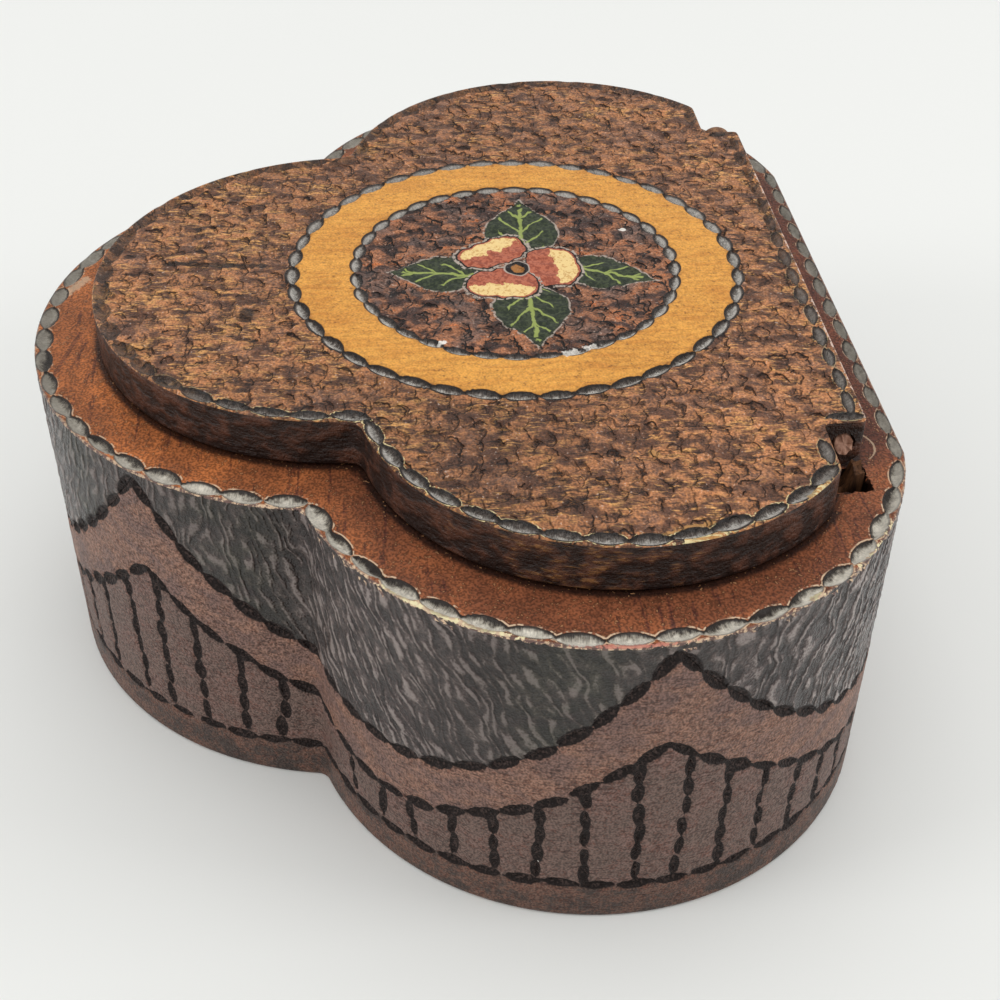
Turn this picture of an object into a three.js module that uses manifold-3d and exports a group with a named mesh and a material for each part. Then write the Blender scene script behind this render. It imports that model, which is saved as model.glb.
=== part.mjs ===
// Carved trinket box of dark wood: a three-lobed, heart-like body hollowed from one block, and a board lid
// that turns on two wooden pins between small upright ears. The right ear is broken off.
// Millimetres, +Z up, hinge at +Y, base on Z = 0 and the middle of the box on X = Y = 0.

import * as THREE from 'three';
import { mergeVertices } from 'three/addons/utils/BufferGeometryUtils.js';
import Module from 'manifold-3d';

const wasm = await Module();
wasm.setup();

// Driving dimensions

const BODY_HEIGHT = 44.4;
const FLOOR_THICKNESS = 6;
const LID_THICKNESS = 6.2;
const LID_GAP = 0.3;
const FIT_GAP = 0.35;

// Plan outlines: one round front lobe, two round side lobes and a straight hinge side
const BODY_PLAN = { frontY: -12.8, frontR: 38.9, sideX: 26.9, sideY: 16.35, sideR: 36, back: 51.7, corner: 2 };
const LID_PLAN = { frontY: -12.2, frontR: 31.4, sideX: 25.6, sideY: 17.8, sideR: 29.4, back: 45.7, corner: 2 };
const CAVITY_PLAN = { frontY: -12.8, frontR: 26.4, sideX: 26.9, sideY: 16.35, sideR: 23.5, back: 37.2, corner: 4 };
const PLAN_STEP = 4;

// Hinge
const HINGE_SETBACK = 2.4;
const HINGE_Y = LID_PLAN.back - HINGE_SETBACK;
const HINGE_Z = BODY_HEIGHT + LID_GAP + LID_THICKNESS / 2;
const NOTCH_X = 35.8;
const EAR_HEAD_R = 2.3;
const EAR_THICKNESS = 3;
const TENON_DEPTH = 6;
const PIN_R = 1.1;
const PIN_HOLE_R = PIN_R + 0.3;
const PIN_IN_LID = 7;
const PIN_SIDES = 12;
const LID_ROLL_R = LID_THICKNESS / 2 - 0.05;
const STUMP_THICKNESS = 2;
const STUMP_TOP = { inner: 1.5, outer: 0.5 };
const TORN_MORTISE = { outerX: 40.7, backY: 46.4 };

// Carving: oval gouge cuts in chains
const RIM_CUT = { pitch: 5, width: 2.2, depth: 0.9, inset: 0.9 };
const LID_RIM_CUT = { pitch: 4.6, width: 2, depth: 0.8, inset: 0.8 };
const RING_CUT = { pitch: 4.3, width: 1.9, depth: 0.8 };
const WALL_CUT = { pitch: 4.6, width: 1.7, depth: 0.7 };
const PICKET_CUT = { pitch: 5.3, width: 1.5, depth: 0.7 };
const CUT_PROUD = 0.12;
const MEDALLION = { y: 9.5, outerR: 28.3, innerR: 20.4 };

// Swags: arc length from the front tip to each peak, heights of the two chains and of the foot chain
const SWAG_PEAKS = [-104.5, -34.5, 34.5, 104.5];
const UPPER_SWAG = { peak: 43.2, valley: 20.2, power: 2.2 };
const LOWER_SWAG = { peak: 29.5, valley: 11.9, power: 1.75 };
const FOOT_CHAIN_Z = 5.7;

const WOOD = {
  body: { color: 0x4a3a36, roughness: 0.55 },
  lid: { color: 0x4d3325, roughness: 0.6 },
  fitting: { color: 0x7a5a45, roughness: 0.7 },
};

// Solids: three.js geometry in, manifold joins and cuts, three.js geometry out

function solid(geometry) {
  const bare = geometry.clone();
  bare.deleteAttribute('normal');
  bare.deleteAttribute('uv');
  const welded = mergeVertices(bare);
  return new wasm.Manifold(
    new wasm.Mesh({
      numProp: 3,
      vertProperties: new Float32Array(welded.attributes.position.array),
      triVerts: new Uint32Array(welded.index.array),
    }),
  );
}

function geometryOf(manifold) {
  const mesh = manifold.getMesh();
  const geometry = new THREE.BufferGeometry();
  geometry.setAttribute('position', new THREE.BufferAttribute(new Float32Array(mesh.vertProperties), 3));
  geometry.setIndex(new THREE.BufferAttribute(new Uint32Array(mesh.triVerts), 1));
  geometry.computeVertexNormals();
  return geometry;
}

function cutAll(body, cutters) {
  return cutters.reduce((whole, cutter) => whole.subtract(cutter), body);
}

function block(x0, x1, y0, y1, z0, z1) {
  const geometry = new THREE.BoxGeometry(x1 - x0, y1 - y0, z1 - z0);
  return solid(geometry.translate((x0 + x1) / 2, (y0 + y1) / 2, (z0 + z1) / 2));
}

// A prism along X whose section is given as [y, z] points
function prismAlongX(points, x0, x1) {
  const shape = new THREE.Shape(points.map(([y, z]) => new THREE.Vector2(y, z)));
  const geometry = new THREE.ExtrudeGeometry(shape, { depth: x1 - x0, bevelEnabled: false });
  const turn = new THREE.Matrix4().makeBasis(
    new THREE.Vector3(0, 1, 0),
    new THREE.Vector3(0, 0, 1),
    new THREE.Vector3(1, 0, 0),
  );
  return solid(geometry.applyMatrix4(turn).translate(x0, 0, 0));
}

function rodAlongX(radius, x0, x1) {
  const points = [];
  for (let i = 0; i < PIN_SIDES; i += 1) {
    const angle = (i + 0.5) * (2 * Math.PI / PIN_SIDES);
    points.push([HINGE_Y + radius * Math.cos(angle), HINGE_Z + radius * Math.sin(angle)]);
  }
  return prismAlongX(points, x0, x1);
}

// Plan outline: points anticlockwise from the front tip, each with its outward normal and arc length

function lobedOutline(plan, step) {
  const front = new THREE.Vector2(0, plan.frontY);
  const side = new THREE.Vector2(plan.sideX, plan.sideY);
  const between = side.clone().sub(front);
  const reach = between.length();
  const toFront = plan.frontR + plan.corner;
  const toSide = plan.sideR + plan.corner;
  const along = (toFront ** 2 - toSide ** 2 + reach ** 2) / (2 * reach);
  const off = Math.sqrt(toFront ** 2 - along ** 2);
  const dir = between.normalize();
  const corner = front.clone().addScaledVector(dir, along).add(new THREE.Vector2(dir.y, -dir.x).multiplyScalar(off));
  const frontEnd = Math.atan2(corner.y - front.y, corner.x - front.x);
  const sideStart = Math.atan2(corner.y - side.y, corner.x - side.x);
  const sideEnd = Math.asin(Math.min(1, (plan.back - side.y) / plan.sideR));

  const right = [];
  const arc = (centre, radius, from, to, sign) => {
    const count = Math.max(2, Math.ceil((Math.abs(to - from) * radius) / step));
    for (let i = 0; i < count; i += 1) {
      const angle = from + ((to - from) * i) / count;
      const ray = new THREE.Vector2(Math.cos(angle), Math.sin(angle));
      right.push({ point: centre.clone().addScaledVector(ray, radius), normal: ray.multiplyScalar(sign) });
    }
  };
  arc(front, plan.frontR, -Math.PI / 2, frontEnd, 1);
  arc(corner, plan.corner, frontEnd + Math.PI, sideStart + Math.PI, -1);
  arc(side, plan.sideR, sideStart, sideEnd, 1);
  const backEnd = side.x + plan.sideR * Math.cos(sideEnd);
  const backCount = Math.ceil(backEnd / step);
  for (let i = 0; i <= backCount; i += 1) {
    const x = backEnd * (1 - i / backCount);
    right.push({ point: new THREE.Vector2(x, plan.back), normal: new THREE.Vector2(0, 1) });
  }
  const mirrored = right.slice(1, -1).reverse().map(({ point, normal }) => ({
    point: new THREE.Vector2(-point.x, point.y),
    normal: new THREE.Vector2(-normal.x, normal.y),
  }));
  const loop = [...right, ...mirrored];
  let s = 0;
  loop.forEach((entry, i) => {
    entry.s = s;
    s += entry.point.distanceTo(loop[(i + 1) % loop.length].point);
  });
  return { loop, length: s };
}

// The place on an outline at arc length s from the front tip, positive towards +X
function placeOn(outline, s) {
  const { loop, length } = outline;
  const wrapped = ((s % length) + length) % length;
  let i = loop.findIndex((entry) => entry.s > wrapped) - 1;
  if (i < 0) i = loop.length - 1;
  const a = loop[i];
  const b = loop[(i + 1) % loop.length];
  const span = (i === loop.length - 1 ? length : b.s) - a.s;
  const t = (wrapped - a.s) / span;
  return { point: a.point.clone().lerp(b.point, t), normal: a.normal.clone().lerp(b.normal, t).normalize() };
}

function plate(plan, z0, z1) {
  const { loop } = lobedOutline(plan, PLAN_STEP);
  const shape = new THREE.Shape(loop.map(({ point }) => point));
  const geometry = new THREE.ExtrudeGeometry(shape, { depth: z1 - z0, bevelEnabled: false });
  return solid(geometry.translate(0, 0, z0));
}

// Gouge cuts: an eight-faced lens lying along the cut, its depth along the inward normal

function gouge(at, along, normal, length, width, depth) {
  const across = new THREE.Vector3().crossVectors(normal, along);
  const geometry = new THREE.OctahedronGeometry(1);
  const place = new THREE.Matrix4().makeBasis(
    along.clone().multiplyScalar(length / 2),
    across.multiplyScalar(width / 2),
    normal.clone().multiplyScalar(depth + CUT_PROUD),
  );
  place.setPosition(at.clone().addScaledVector(normal, CUT_PROUD));
  return solid(geometry.applyMatrix4(place));
}

// Cuts around an outline's upper arris
function rimCuts(plan, z, cut) {
  const fine = lobedOutline(plan, PLAN_STEP / 4);
  const count = Math.round(fine.length / cut.pitch);
  const cutters = [];
  for (let i = 0; i < count; i += 1) {
    const { point, normal } = placeOn(fine, ((i + 0.5) * fine.length) / count);
    const at = new THREE.Vector3(point.x - normal.x * cut.inset, point.y - normal.y * cut.inset, z);
    const along = new THREE.Vector3(-normal.y, normal.x, 0);
    cutters.push(gouge(at, along, new THREE.Vector3(0, 0, 1), fine.length / count, cut.width, cut.depth));
  }
  return cutters;
}

// Cuts around a circle on the lid
function ringCuts(radius, cut) {
  const count = Math.round((2 * Math.PI * radius) / cut.pitch);
  const z = BODY_HEIGHT + LID_GAP + LID_THICKNESS;
  const cutters = [];
  for (let i = 0; i < count; i += 1) {
    const angle = (i / count) * 2 * Math.PI;
    const at = new THREE.Vector3(radius * Math.cos(angle), MEDALLION.y + radius * Math.sin(angle), z);
    const along = new THREE.Vector3(-Math.sin(angle), Math.cos(angle), 0);
    cutters.push(gouge(at, along, new THREE.Vector3(0, 0, 1), cut.pitch, cut.width, cut.depth));
  }
  return cutters;
}

// Height of a swag at arc length s: low midway between two peaks, rising ever faster towards each
function swagHeight(swag, outline, s) {
  const peaks = [...SWAG_PEAKS, outline.length / 2];
  const nearest = [];
  peaks.forEach((peak) => nearest.push(peak - outline.length, peak, peak + outline.length));
  nearest.sort((a, b) => a - b);
  const right = nearest.findIndex((peak) => peak > s);
  const half = (nearest[right] - nearest[right - 1]) / 2;
  const t = Math.abs(s - (nearest[right] - half)) / half;
  return swag.valley + (swag.peak - swag.valley) * t ** swag.power;
}

function wallCut(outline, s, z, slope, length, cut) {
  const { point, normal } = placeOn(outline, s);
  const out = new THREE.Vector3(normal.x, normal.y, 0);
  const along = new THREE.Vector3(-normal.y, normal.x, slope).normalize();
  return gouge(new THREE.Vector3(point.x, point.y, z), along, out, length, cut.width, cut.depth);
}

// A chain of cuts that follows a curve of height over arc length, evenly spaced along the curve
function wallChain(outline, height, cut) {
  const stations = [];
  const step = 0.25;
  let run = 0;
  for (let s = 0; s < outline.length; s += step) {
    stations.push({ s, run });
    run += Math.hypot(step, height(s + step) - height(s));
  }
  const count = Math.round(run / cut.pitch);
  const cutters = [];
  for (let i = 0; i < count; i += 1) {
    const wanted = ((i + 0.5) * run) / count;
    const { s } = stations.findLast((station) => station.run <= wanted);
    const slope = (height(s + step) - height(s - step)) / (2 * step);
    cutters.push(wallCut(outline, s, height(s), slope, run / count, cut));
  }
  return cutters;
}

// Upright cuts between the lower swag and the foot chain
function pickets(outline, cut) {
  const count = Math.round(outline.length / cut.pitch);
  const cutters = [];
  for (let i = 0; i < count; i += 1) {
    const s = ((i + 0.5) * outline.length) / count;
    const top = swagHeight(LOWER_SWAG, outline, s) - cut.width / 2;
    const bottom = FOOT_CHAIN_Z + cut.width / 2;
    const { point, normal } = placeOn(outline, s);
    const at = new THREE.Vector3(point.x, point.y, (top + bottom) / 2);
    const out = new THREE.Vector3(normal.x, normal.y, 0);
    cutters.push(gouge(at, new THREE.Vector3(0, 0, 1), out, top - bottom, cut.width, cut.depth));
  }
  return cutters;
}

// Pieces

// Mortise for an ear of the given side, out to outerX and back to backY
function mortise(side, outerX, backY) {
  const innerX = NOTCH_X;
  const x = side > 0 ? [innerX, outerX] : [-outerX, -innerX];
  const frontY = HINGE_Y - EAR_HEAD_R - FIT_GAP;
  return block(x[0], x[1], frontY, backY, BODY_HEIGHT - TENON_DEPTH - FIT_GAP, BODY_HEIGHT + 1);
}

function bodyShell() {
  const outline = lobedOutline(BODY_PLAN, PLAN_STEP / 4);
  const whole = plate(BODY_PLAN, 0, BODY_HEIGHT);
  const cavity = plate(CAVITY_PLAN, FLOOR_THICKNESS, BODY_HEIGHT + 1);
  const earOuterX = NOTCH_X + FIT_GAP + EAR_THICKNESS + FIT_GAP;
  return cutAll(whole, [
    cavity,
    mortise(-1, earOuterX, HINGE_Y + EAR_HEAD_R + FIT_GAP),
    mortise(1, TORN_MORTISE.outerX, TORN_MORTISE.backY),
    ...rimCuts(BODY_PLAN, BODY_HEIGHT, RIM_CUT),
    ...wallChain(outline, (s) => swagHeight(UPPER_SWAG, outline, s), WALL_CUT),
    ...wallChain(outline, (s) => swagHeight(LOWER_SWAG, outline, s), WALL_CUT),
    ...wallChain(outline, () => FOOT_CHAIN_Z, WALL_CUT),
    ...pickets(outline, PICKET_CUT),
  ]);
}

function lidBoard() {
  const bottom = BODY_HEIGHT + LID_GAP;
  const top = bottom + LID_THICKNESS;
  const far = LID_PLAN.back + 1;
  const notchFront = HINGE_Y - EAR_HEAD_R - FIT_GAP;
  const notches = [-1, 1].map((side) => {
    const outer = side * (LID_PLAN.sideX + LID_PLAN.sideR);
    const inner = side * NOTCH_X;
    return block(Math.min(inner, outer), Math.max(inner, outer), notchFront, far, bottom - 1, top + 1);
  });
  const holes = [-1, 1].map((side) => {
    const inner = side * (NOTCH_X - PIN_IN_LID - FIT_GAP);
    const outer = side * (NOTCH_X + 1);
    return rodAlongX(PIN_HOLE_R, Math.min(inner, outer), Math.max(inner, outer));
  });
  const roll = [[HINGE_Y, bottom - 1], [far, bottom - 1], [far, HINGE_Z]];
  const start = -Math.acos(HINGE_SETBACK / LID_ROLL_R);
  const steps = 4;
  for (let i = 0; i <= steps; i += 1) {
    const angle = start + ((-Math.PI / 2 - start) * i) / steps;
    roll.push([HINGE_Y + LID_ROLL_R * Math.cos(angle), HINGE_Z + LID_ROLL_R * Math.sin(angle)]);
  }
  return cutAll(plate(LID_PLAN, bottom, top), [
    ...notches,
    ...holes,
    prismAlongX(roll, -NOTCH_X - 1, NOTCH_X + 1),
    ...rimCuts(LID_PLAN, top, LID_RIM_CUT),
    ...ringCuts(MEDALLION.outerR, RING_CUT),
    ...ringCuts(MEDALLION.innerR, RING_CUT),
  ]);
}

// Upright ear with a round head about the hinge line, let into the body
function leftEar() {
  const points = [[HINGE_Y - EAR_HEAD_R, BODY_HEIGHT - TENON_DEPTH], [HINGE_Y + EAR_HEAD_R, BODY_HEIGHT - TENON_DEPTH]];
  const steps = 10;
  for (let i = 0; i <= steps; i += 1) {
    const angle = (Math.PI * i) / steps;
    points.push([HINGE_Y + EAR_HEAD_R * Math.cos(angle), HINGE_Z + EAR_HEAD_R * Math.sin(angle)]);
  }
  const inner = -NOTCH_X - FIT_GAP;
  const ear = prismAlongX(points, inner - EAR_THICKNESS, inner);
  return ear.subtract(rodAlongX(PIN_HOLE_R, inner - EAR_THICKNESS - 1, inner + 1));
}

// What is left of the right ear: a stump whose top slopes down and outwards, with three splinter ridges
function rightStump() {
  const inner = NOTCH_X + FIT_GAP;
  const outer = inner + STUMP_THICKNESS;
  const ridges = [1, 0.35, 0.8, 0.25, 0.6];
  const front = HINGE_Y - EAR_HEAD_R;
  const width = 2 * EAR_HEAD_R;
  const base = BODY_HEIGHT - TENON_DEPTH;
  const points = [[front, base], [front + width, base]];
  ridges.forEach((ridge, i) => {
    const y = front + width * (1 - i / (ridges.length - 1));
    points.push([y, BODY_HEIGHT + STUMP_TOP.outer + (STUMP_TOP.inner - STUMP_TOP.outer) * ridge]);
  });
  const stump = prismAlongX(points, inner, outer);
  const slope = new THREE.BoxGeometry(2 * STUMP_THICKNESS, 2 * width, STUMP_TOP.inner);
  slope.rotateY(Math.atan2(STUMP_TOP.inner, STUMP_THICKNESS));
  slope.translate(outer, HINGE_Y, BODY_HEIGHT + STUMP_TOP.inner + 0.4);
  return stump.subtract(solid(slope));
}

function hingePin(side, outerX) {
  const inner = side * (NOTCH_X - PIN_IN_LID);
  const outer = side * outerX;
  return rodAlongX(PIN_R, Math.min(inner, outer), Math.max(inner, outer));
}

// Scene graph

const box = new THREE.Group();

function addPiece(name, manifold, finish) {
  const material = new THREE.MeshStandardMaterial({ ...finish, metalness: 0 });
  const mesh = new THREE.Mesh(geometryOf(manifold), material);
  mesh.name = name;
  box.add(mesh);
}

addPiece('box_body', bodyShell(), WOOD.body);
addPiece('lid', lidBoard(), WOOD.lid);
addPiece('left_hinge_ear', leftEar(), WOOD.fitting);
addPiece('right_ear_stump', rightStump(), WOOD.fitting);
addPiece('left_hinge_pin', hingePin(-1, NOTCH_X + FIT_GAP + EAR_THICKNESS - 0.2), WOOD.fitting);
addPiece('right_hinge_pin', hingePin(1, NOTCH_X + 1.2), WOOD.fitting);

export default box;
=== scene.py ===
"""A carved trinket box of dark wood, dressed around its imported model.

The body and the lid are built as fine closed skins in the place of their plain solids. Gouge cuts are pressed
into them as real relief, and each skin carries the carver's layout as attributes, which its finish reads.
Sizes are millimetres until a mesh is made. +Z is up, the hinge is at +Y and the near lobe is at +X.
"""

import logging
import math
from collections.abc import Callable, Iterator
from contextlib import contextmanager
from dataclasses import dataclass, field
from enum import Enum, IntEnum
from typing import Any

import bpy
import numpy as np
from mathutils import Matrix, Vector, geometry


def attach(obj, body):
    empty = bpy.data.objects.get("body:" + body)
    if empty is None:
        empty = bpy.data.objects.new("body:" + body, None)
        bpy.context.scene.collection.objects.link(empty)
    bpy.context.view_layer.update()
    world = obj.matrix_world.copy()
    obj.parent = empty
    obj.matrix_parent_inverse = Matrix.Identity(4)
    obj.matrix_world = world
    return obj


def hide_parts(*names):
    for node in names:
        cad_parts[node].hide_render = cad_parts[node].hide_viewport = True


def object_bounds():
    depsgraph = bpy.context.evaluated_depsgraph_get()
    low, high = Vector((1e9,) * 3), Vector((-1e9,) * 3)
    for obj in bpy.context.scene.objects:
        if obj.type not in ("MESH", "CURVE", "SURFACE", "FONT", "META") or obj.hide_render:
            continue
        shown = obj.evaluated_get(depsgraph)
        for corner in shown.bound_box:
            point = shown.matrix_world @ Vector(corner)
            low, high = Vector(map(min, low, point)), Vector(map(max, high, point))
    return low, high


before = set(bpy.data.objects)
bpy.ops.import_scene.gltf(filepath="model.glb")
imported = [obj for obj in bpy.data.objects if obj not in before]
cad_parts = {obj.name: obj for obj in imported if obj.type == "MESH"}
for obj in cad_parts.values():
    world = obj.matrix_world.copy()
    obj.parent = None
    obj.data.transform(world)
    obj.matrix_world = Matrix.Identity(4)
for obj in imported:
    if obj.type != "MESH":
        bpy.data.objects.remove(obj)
CAD_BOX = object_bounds()

log = logging.getLogger("trinket_box")

MM = 0.001
SAME_PLACE = 0.002
FINE_GRAIN = 0.27
Colour = tuple[float, float, float, float]
# The two ends of a mark and how far it reaches to each side
Mark = tuple[tuple[float, float], tuple[float, float], float]
# Strength, middle and width of places along an outline
Bells = tuple[tuple[float, float, float], ...]


def paint(red: int, green: int, blue: int) -> Colour:
    """Turns a colour as seen on a screen, 0 to 255, into the linear colour that a shader takes."""

    def linear(part: int) -> float:
        share = part / 255
        return share / 12.92 if share <= 0.04045 else ((share + 0.055) / 1.055) ** 2.4

    return (linear(red), linear(green), linear(blue), 1.0)


# Node maths


def maths(operation: str, turned: bool = False) -> Callable[..., "Value"]:
    """Makes a method that adds one Math node.

    Args:
        operation: the node's operation.
        turned: whether the other number comes first.

    Returns:
        The method, for the class of node values.
    """

    def method(self: "Value", *others: "Value | float") -> "Value":
        """Adds the node."""
        return self.board.math(operation, *((*others, self) if turned else (self, *others)))

    return method


class Value:
    """A node socket that takes part in Python arithmetic."""

    __add__ = __radd__ = maths("ADD")
    __sub__, __rsub__ = maths("SUBTRACT"), maths("SUBTRACT", turned=True)
    __mul__ = __rmul__ = maths("MULTIPLY")
    __truediv__, __pow__, __abs__ = maths("DIVIDE"), maths("POWER"), maths("ABSOLUTE")
    most, least = maths("MAXIMUM"), maths("MINIMUM")
    sine, cosine = maths("SINE"), maths("COSINE")

    def __init__(self, board: "Board", socket: bpy.types.NodeSocket) -> None:
        """Wraps one output socket of a board's tree."""
        self.board = board
        self.socket = socket

    def step(self, low: float, high: float) -> "Value":
        """Rises smoothly from 0 at low to 1 at high, or falls where low is the larger."""
        settings = {"interpolation_type": "SMOOTHSTEP"}
        inputs = {"Value": self, "From Min": low, "From Max": high}
        return self.board.value("ShaderNodeMapRange", settings, inputs)

    def between(self, low: float, high: float, soft: float) -> "Value":
        """1 between two limits and 0 outside them, with soft edges."""
        return self.step(low - soft, low + soft) * self.step(high + soft, high - soft)


class Board:
    """The nodes of one tree, each placed by the same method."""

    def __init__(self, tree: bpy.types.NodeTree) -> None:
        """Starts on an empty tree."""
        self.tree = tree
        tree.nodes.clear()

    def node(self, kind: str, settings: dict[str, Any], inputs: dict[Any, Any]) -> bpy.types.Node:
        """Adds a node.

        Args:
            kind: the node's type.
            settings: what is set on the node itself, before its sockets.
            inputs: values or links for its sockets, by identifier, name or number.

        Returns:
            The new node.
        """
        made = self.tree.nodes.new(kind)
        for name, setting in settings.items():
            setattr(made, name, setting)
        for key, value in inputs.items():
            socket = self._socket(made, key)
            if isinstance(value, Value):
                self.tree.links.new(value.socket, socket)
            else:
                socket.default_value = value
        return made

    @staticmethod
    def _socket(made: bpy.types.Node, key: Any) -> bpy.types.NodeSocket:
        """Finds an input by identifier, name or number."""
        if isinstance(key, int):
            return made.inputs[key]
        exact = [socket for socket in made.inputs if socket.identifier == key]
        return exact[0] if exact else made.inputs[key]

    def value(self, kind: str, settings: dict[str, Any], inputs: dict[Any, Any], output: Any = 0) -> Value:
        """Adds a node and returns one of its outputs as a value."""
        return Value(self, self.node(kind, settings, inputs).outputs[output])

    def math(self, operation: str, *values: "Value | float") -> Value:
        """Adds a Math node."""
        return self.value("ShaderNodeMath", {"operation": operation}, dict(enumerate(values)))

    def vector(self, operation: str, *values: Any, output: Any = 0) -> Value:
        """Adds a Vector Math node."""
        return self.value("ShaderNodeVectorMath", {"operation": operation}, dict(enumerate(values)), output)

    def scaled(self, place: Value, factors: tuple[float, float, float], seed: float = 0.0) -> Value:
        """Stretches a place along the axes and shifts it by a seed."""
        shift = (seed * 17.3, seed * 9.1, seed * 3.7)
        return self.vector("MULTIPLY_ADD", place, factors, shift)

    def split(self, place: Value) -> tuple[Value, Value, Value]:
        """The three parts of a vector."""
        made = self.node("ShaderNodeSeparateXYZ", {}, {0: place})
        return tuple(Value(self, output) for output in made.outputs)

    def joined(self, *parts: "Value | float") -> Value:
        """A vector from its first two or three parts."""
        return self.value("ShaderNodeCombineXYZ", {}, dict(enumerate(parts)))

    def length(self, *parts: "Value | float") -> Value:
        """The length of a vector given by its parts."""
        return self.vector("LENGTH", self.joined(*parts), output="Value")

    def attributes(self, *names: str) -> list[Value]:
        """Numbers that the mesh carries at each point."""
        return [self.attribute(name) for name in names]

    def on_roll(self) -> Value:
        """The place on a side that is rolled up without a seam."""
        return self.joined(*self.attributes("roll_x", "roll_y"), self.z)

    def noise(
        self,
        place: Value,
        size: "float | tuple[float, float, float]",
        detail: float = 2.0,
        roughness: float = 0.5,
        distortion: float = 0.0,
        seed: float = 0.0,
    ) -> Value:
        """Soft cloud pattern from 0 to 1.

        Args:
            place: where it is read, in millimetres.
            size: the size of its features, the same or per axis.
            detail: how many finer layers it has.
            roughness: how strong those layers are.
            distortion: how far it is swirled.
            seed: picks another pattern.

        Returns:
            The pattern's value.
        """
        sizes = (size,) * 3 if isinstance(size, (int, float)) else size
        inputs = {
            "Vector": self.scaled(place, tuple(1 / part for part in sizes), seed),
            "Scale": 1.0,
            "Detail": detail,
            "Roughness": roughness,
            "Distortion": distortion,
        }
        return self.value("ShaderNodeTexNoise", {}, inputs)

    def cells(self, place: Value, size: float, feature: str, seed: float = 0.0, flat: bool = False) -> bpy.types.Node:
        """Cell pattern, as a node with several outputs, read in millimetres and given in cell sizes."""
        settings = {"feature": feature, "voronoi_dimensions": "2D" if flat else "3D"}
        inputs = {"Vector": self.scaled(place, (1 / size,) * 3, seed), "Scale": 1.0}
        return self.node("ShaderNodeTexVoronoi", settings, inputs)

    def specks(self, place: Value, spacing: float, radius: float, share: float, seed: float) -> Value:
        """Small round dots, each at its own place and only in a share of the cells."""
        cell = self.cells(place, spacing, "F1", seed)
        distance = Value(self, cell.outputs["Distance"]) * spacing
        pick = self.split(Value(self, cell.outputs["Color"]))[0]
        return distance.step(radius, radius * 0.6) * pick.step(share + 0.001, share)

    def mix(self, factor: "Value | float", base: "Value | Colour", over: "Value | Colour") -> Value:
        """Lays one colour over another."""
        inputs = {"Factor_Float": factor, "A_Color": base, "B_Color": over}
        made = self.node("ShaderNodeMix", {"data_type": "RGBA"}, inputs)
        return Value(self, next(socket for socket in made.outputs if socket.identifier == "Result_Color"))

    def coats(self, base: "Value | Colour", *coats: "tuple[Value | float, Value | Colour]") -> Value:
        """Lays colours over a base, one after the other, each with how much it covers."""
        for factor, over in coats:
            base = self.mix(factor, base, over)
        return base

    def shade(self, colour: Value, factor: "Value | float") -> Value:
        """Multiplies a colour or a vector by a number."""
        return self.value("ShaderNodeVectorMath", {"operation": "SCALE"}, {0: colour, "Scale": factor})


class ShaderBoard(Board):
    """A material's nodes, with the piece's own place and attributes in reach."""

    def __init__(self, name: str) -> None:
        """Makes the material."""
        self.material = bpy.data.materials.new(name)
        self.material.use_nodes = True
        super().__init__(self.material.node_tree)
        coordinates = self.node("ShaderNodeTexCoord", {}, {})
        metres = Value(self, coordinates.outputs["Object"])
        self.place = self.scaled(metres, (1 / MM,) * 3)
        self.x, self.y, self.z = self.split(self.place)

    def attribute(self, name: str) -> Value:
        """A number that the mesh carries at each point."""
        settings = {"attribute_type": "GEOMETRY", "attribute_name": name}
        return self.value("ShaderNodeAttribute", settings, {}, "Fac")

    def bump(self, height: Value, depth: float) -> Value:
        """Fine relief in the shading, its depth in millimetres."""
        return self.value("ShaderNodeBump", {}, {"Height": height, "Distance": depth * MM, "Strength": 1.0})

    def grains(self, seeds: tuple[int, int], size: float = 0.6) -> tuple[Value, Value]:
        """Grit of a size and a finer grain, each from 0 to 1."""
        grit = self.noise(self.place, size, detail=1, roughness=0.7, seed=seeds[0])
        return grit, self.noise(self.place, FINE_GRAIN, detail=0, seed=seeds[1])

    def fibres(self, along: Value, side: Value) -> Value:
        """Fine lines that a gouge leaves across its cut."""
        stripes = {"W": along * 4.2 + side * 0.4, "Detail": 2.0, "Roughness": 0.7}
        return self.value("ShaderNodeTexNoise", {"noise_dimensions": "1D"}, stripes)

    def finish(
        self,
        colour: "Value | Colour",
        roughness: "Value | float",
        normal: "Value | None" = None,
        coat: "Value | float" = 0.0,
        coat_roughness: float = 0.3,
        specular: float = 0.15,
    ) -> bpy.types.Material:
        """Closes the material with its shader.

        Args:
            colour: base colour.
            roughness: roughness of the surface.
            normal: bumped normal, where it has one.
            coat: weight of a varnish coat.
            coat_roughness: the coat's roughness.
            specular: strength of the plain reflection.

        Returns:
            The finished material.
        """
        inputs = {
            "Base Color": colour,
            "Roughness": roughness,
            "Coat Weight": coat,
            "Coat Roughness": coat_roughness,
            "Specular IOR Level": specular,
        }
        if normal is not None:
            inputs["Normal"] = normal
            inputs["Coat Normal"] = normal
        shader = self.value("ShaderNodeBsdfPrincipled", {}, inputs)
        self.node("ShaderNodeOutputMaterial", {}, {"Surface": shader})
        return self.material

    def stroke(self, mark: Mark, ragged: Value) -> Value:
        """A mark from one place to another, seen from above.

        Args:
            mark: its two ends and how far it reaches to each side, in millimetres.
            ragged: a noise that frays it.

        Returns:
            1 on the mark and 0 off it.
        """
        start, end, width = mark
        length = math.dist(start, end)
        toward = [(b - a) / length for a, b in zip(start, end)]
        off = [self.x - start[0], self.y - start[1]]
        along = (off[0] * toward[0] + off[1] * toward[1]).most(0.0).least(length)
        rest = [part - along * step for part, step in zip(off, toward)]
        return (self.length(*rest, 0.0) + (ragged - 0.5) * width * 1.6).step(width, width * 0.5)


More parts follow.
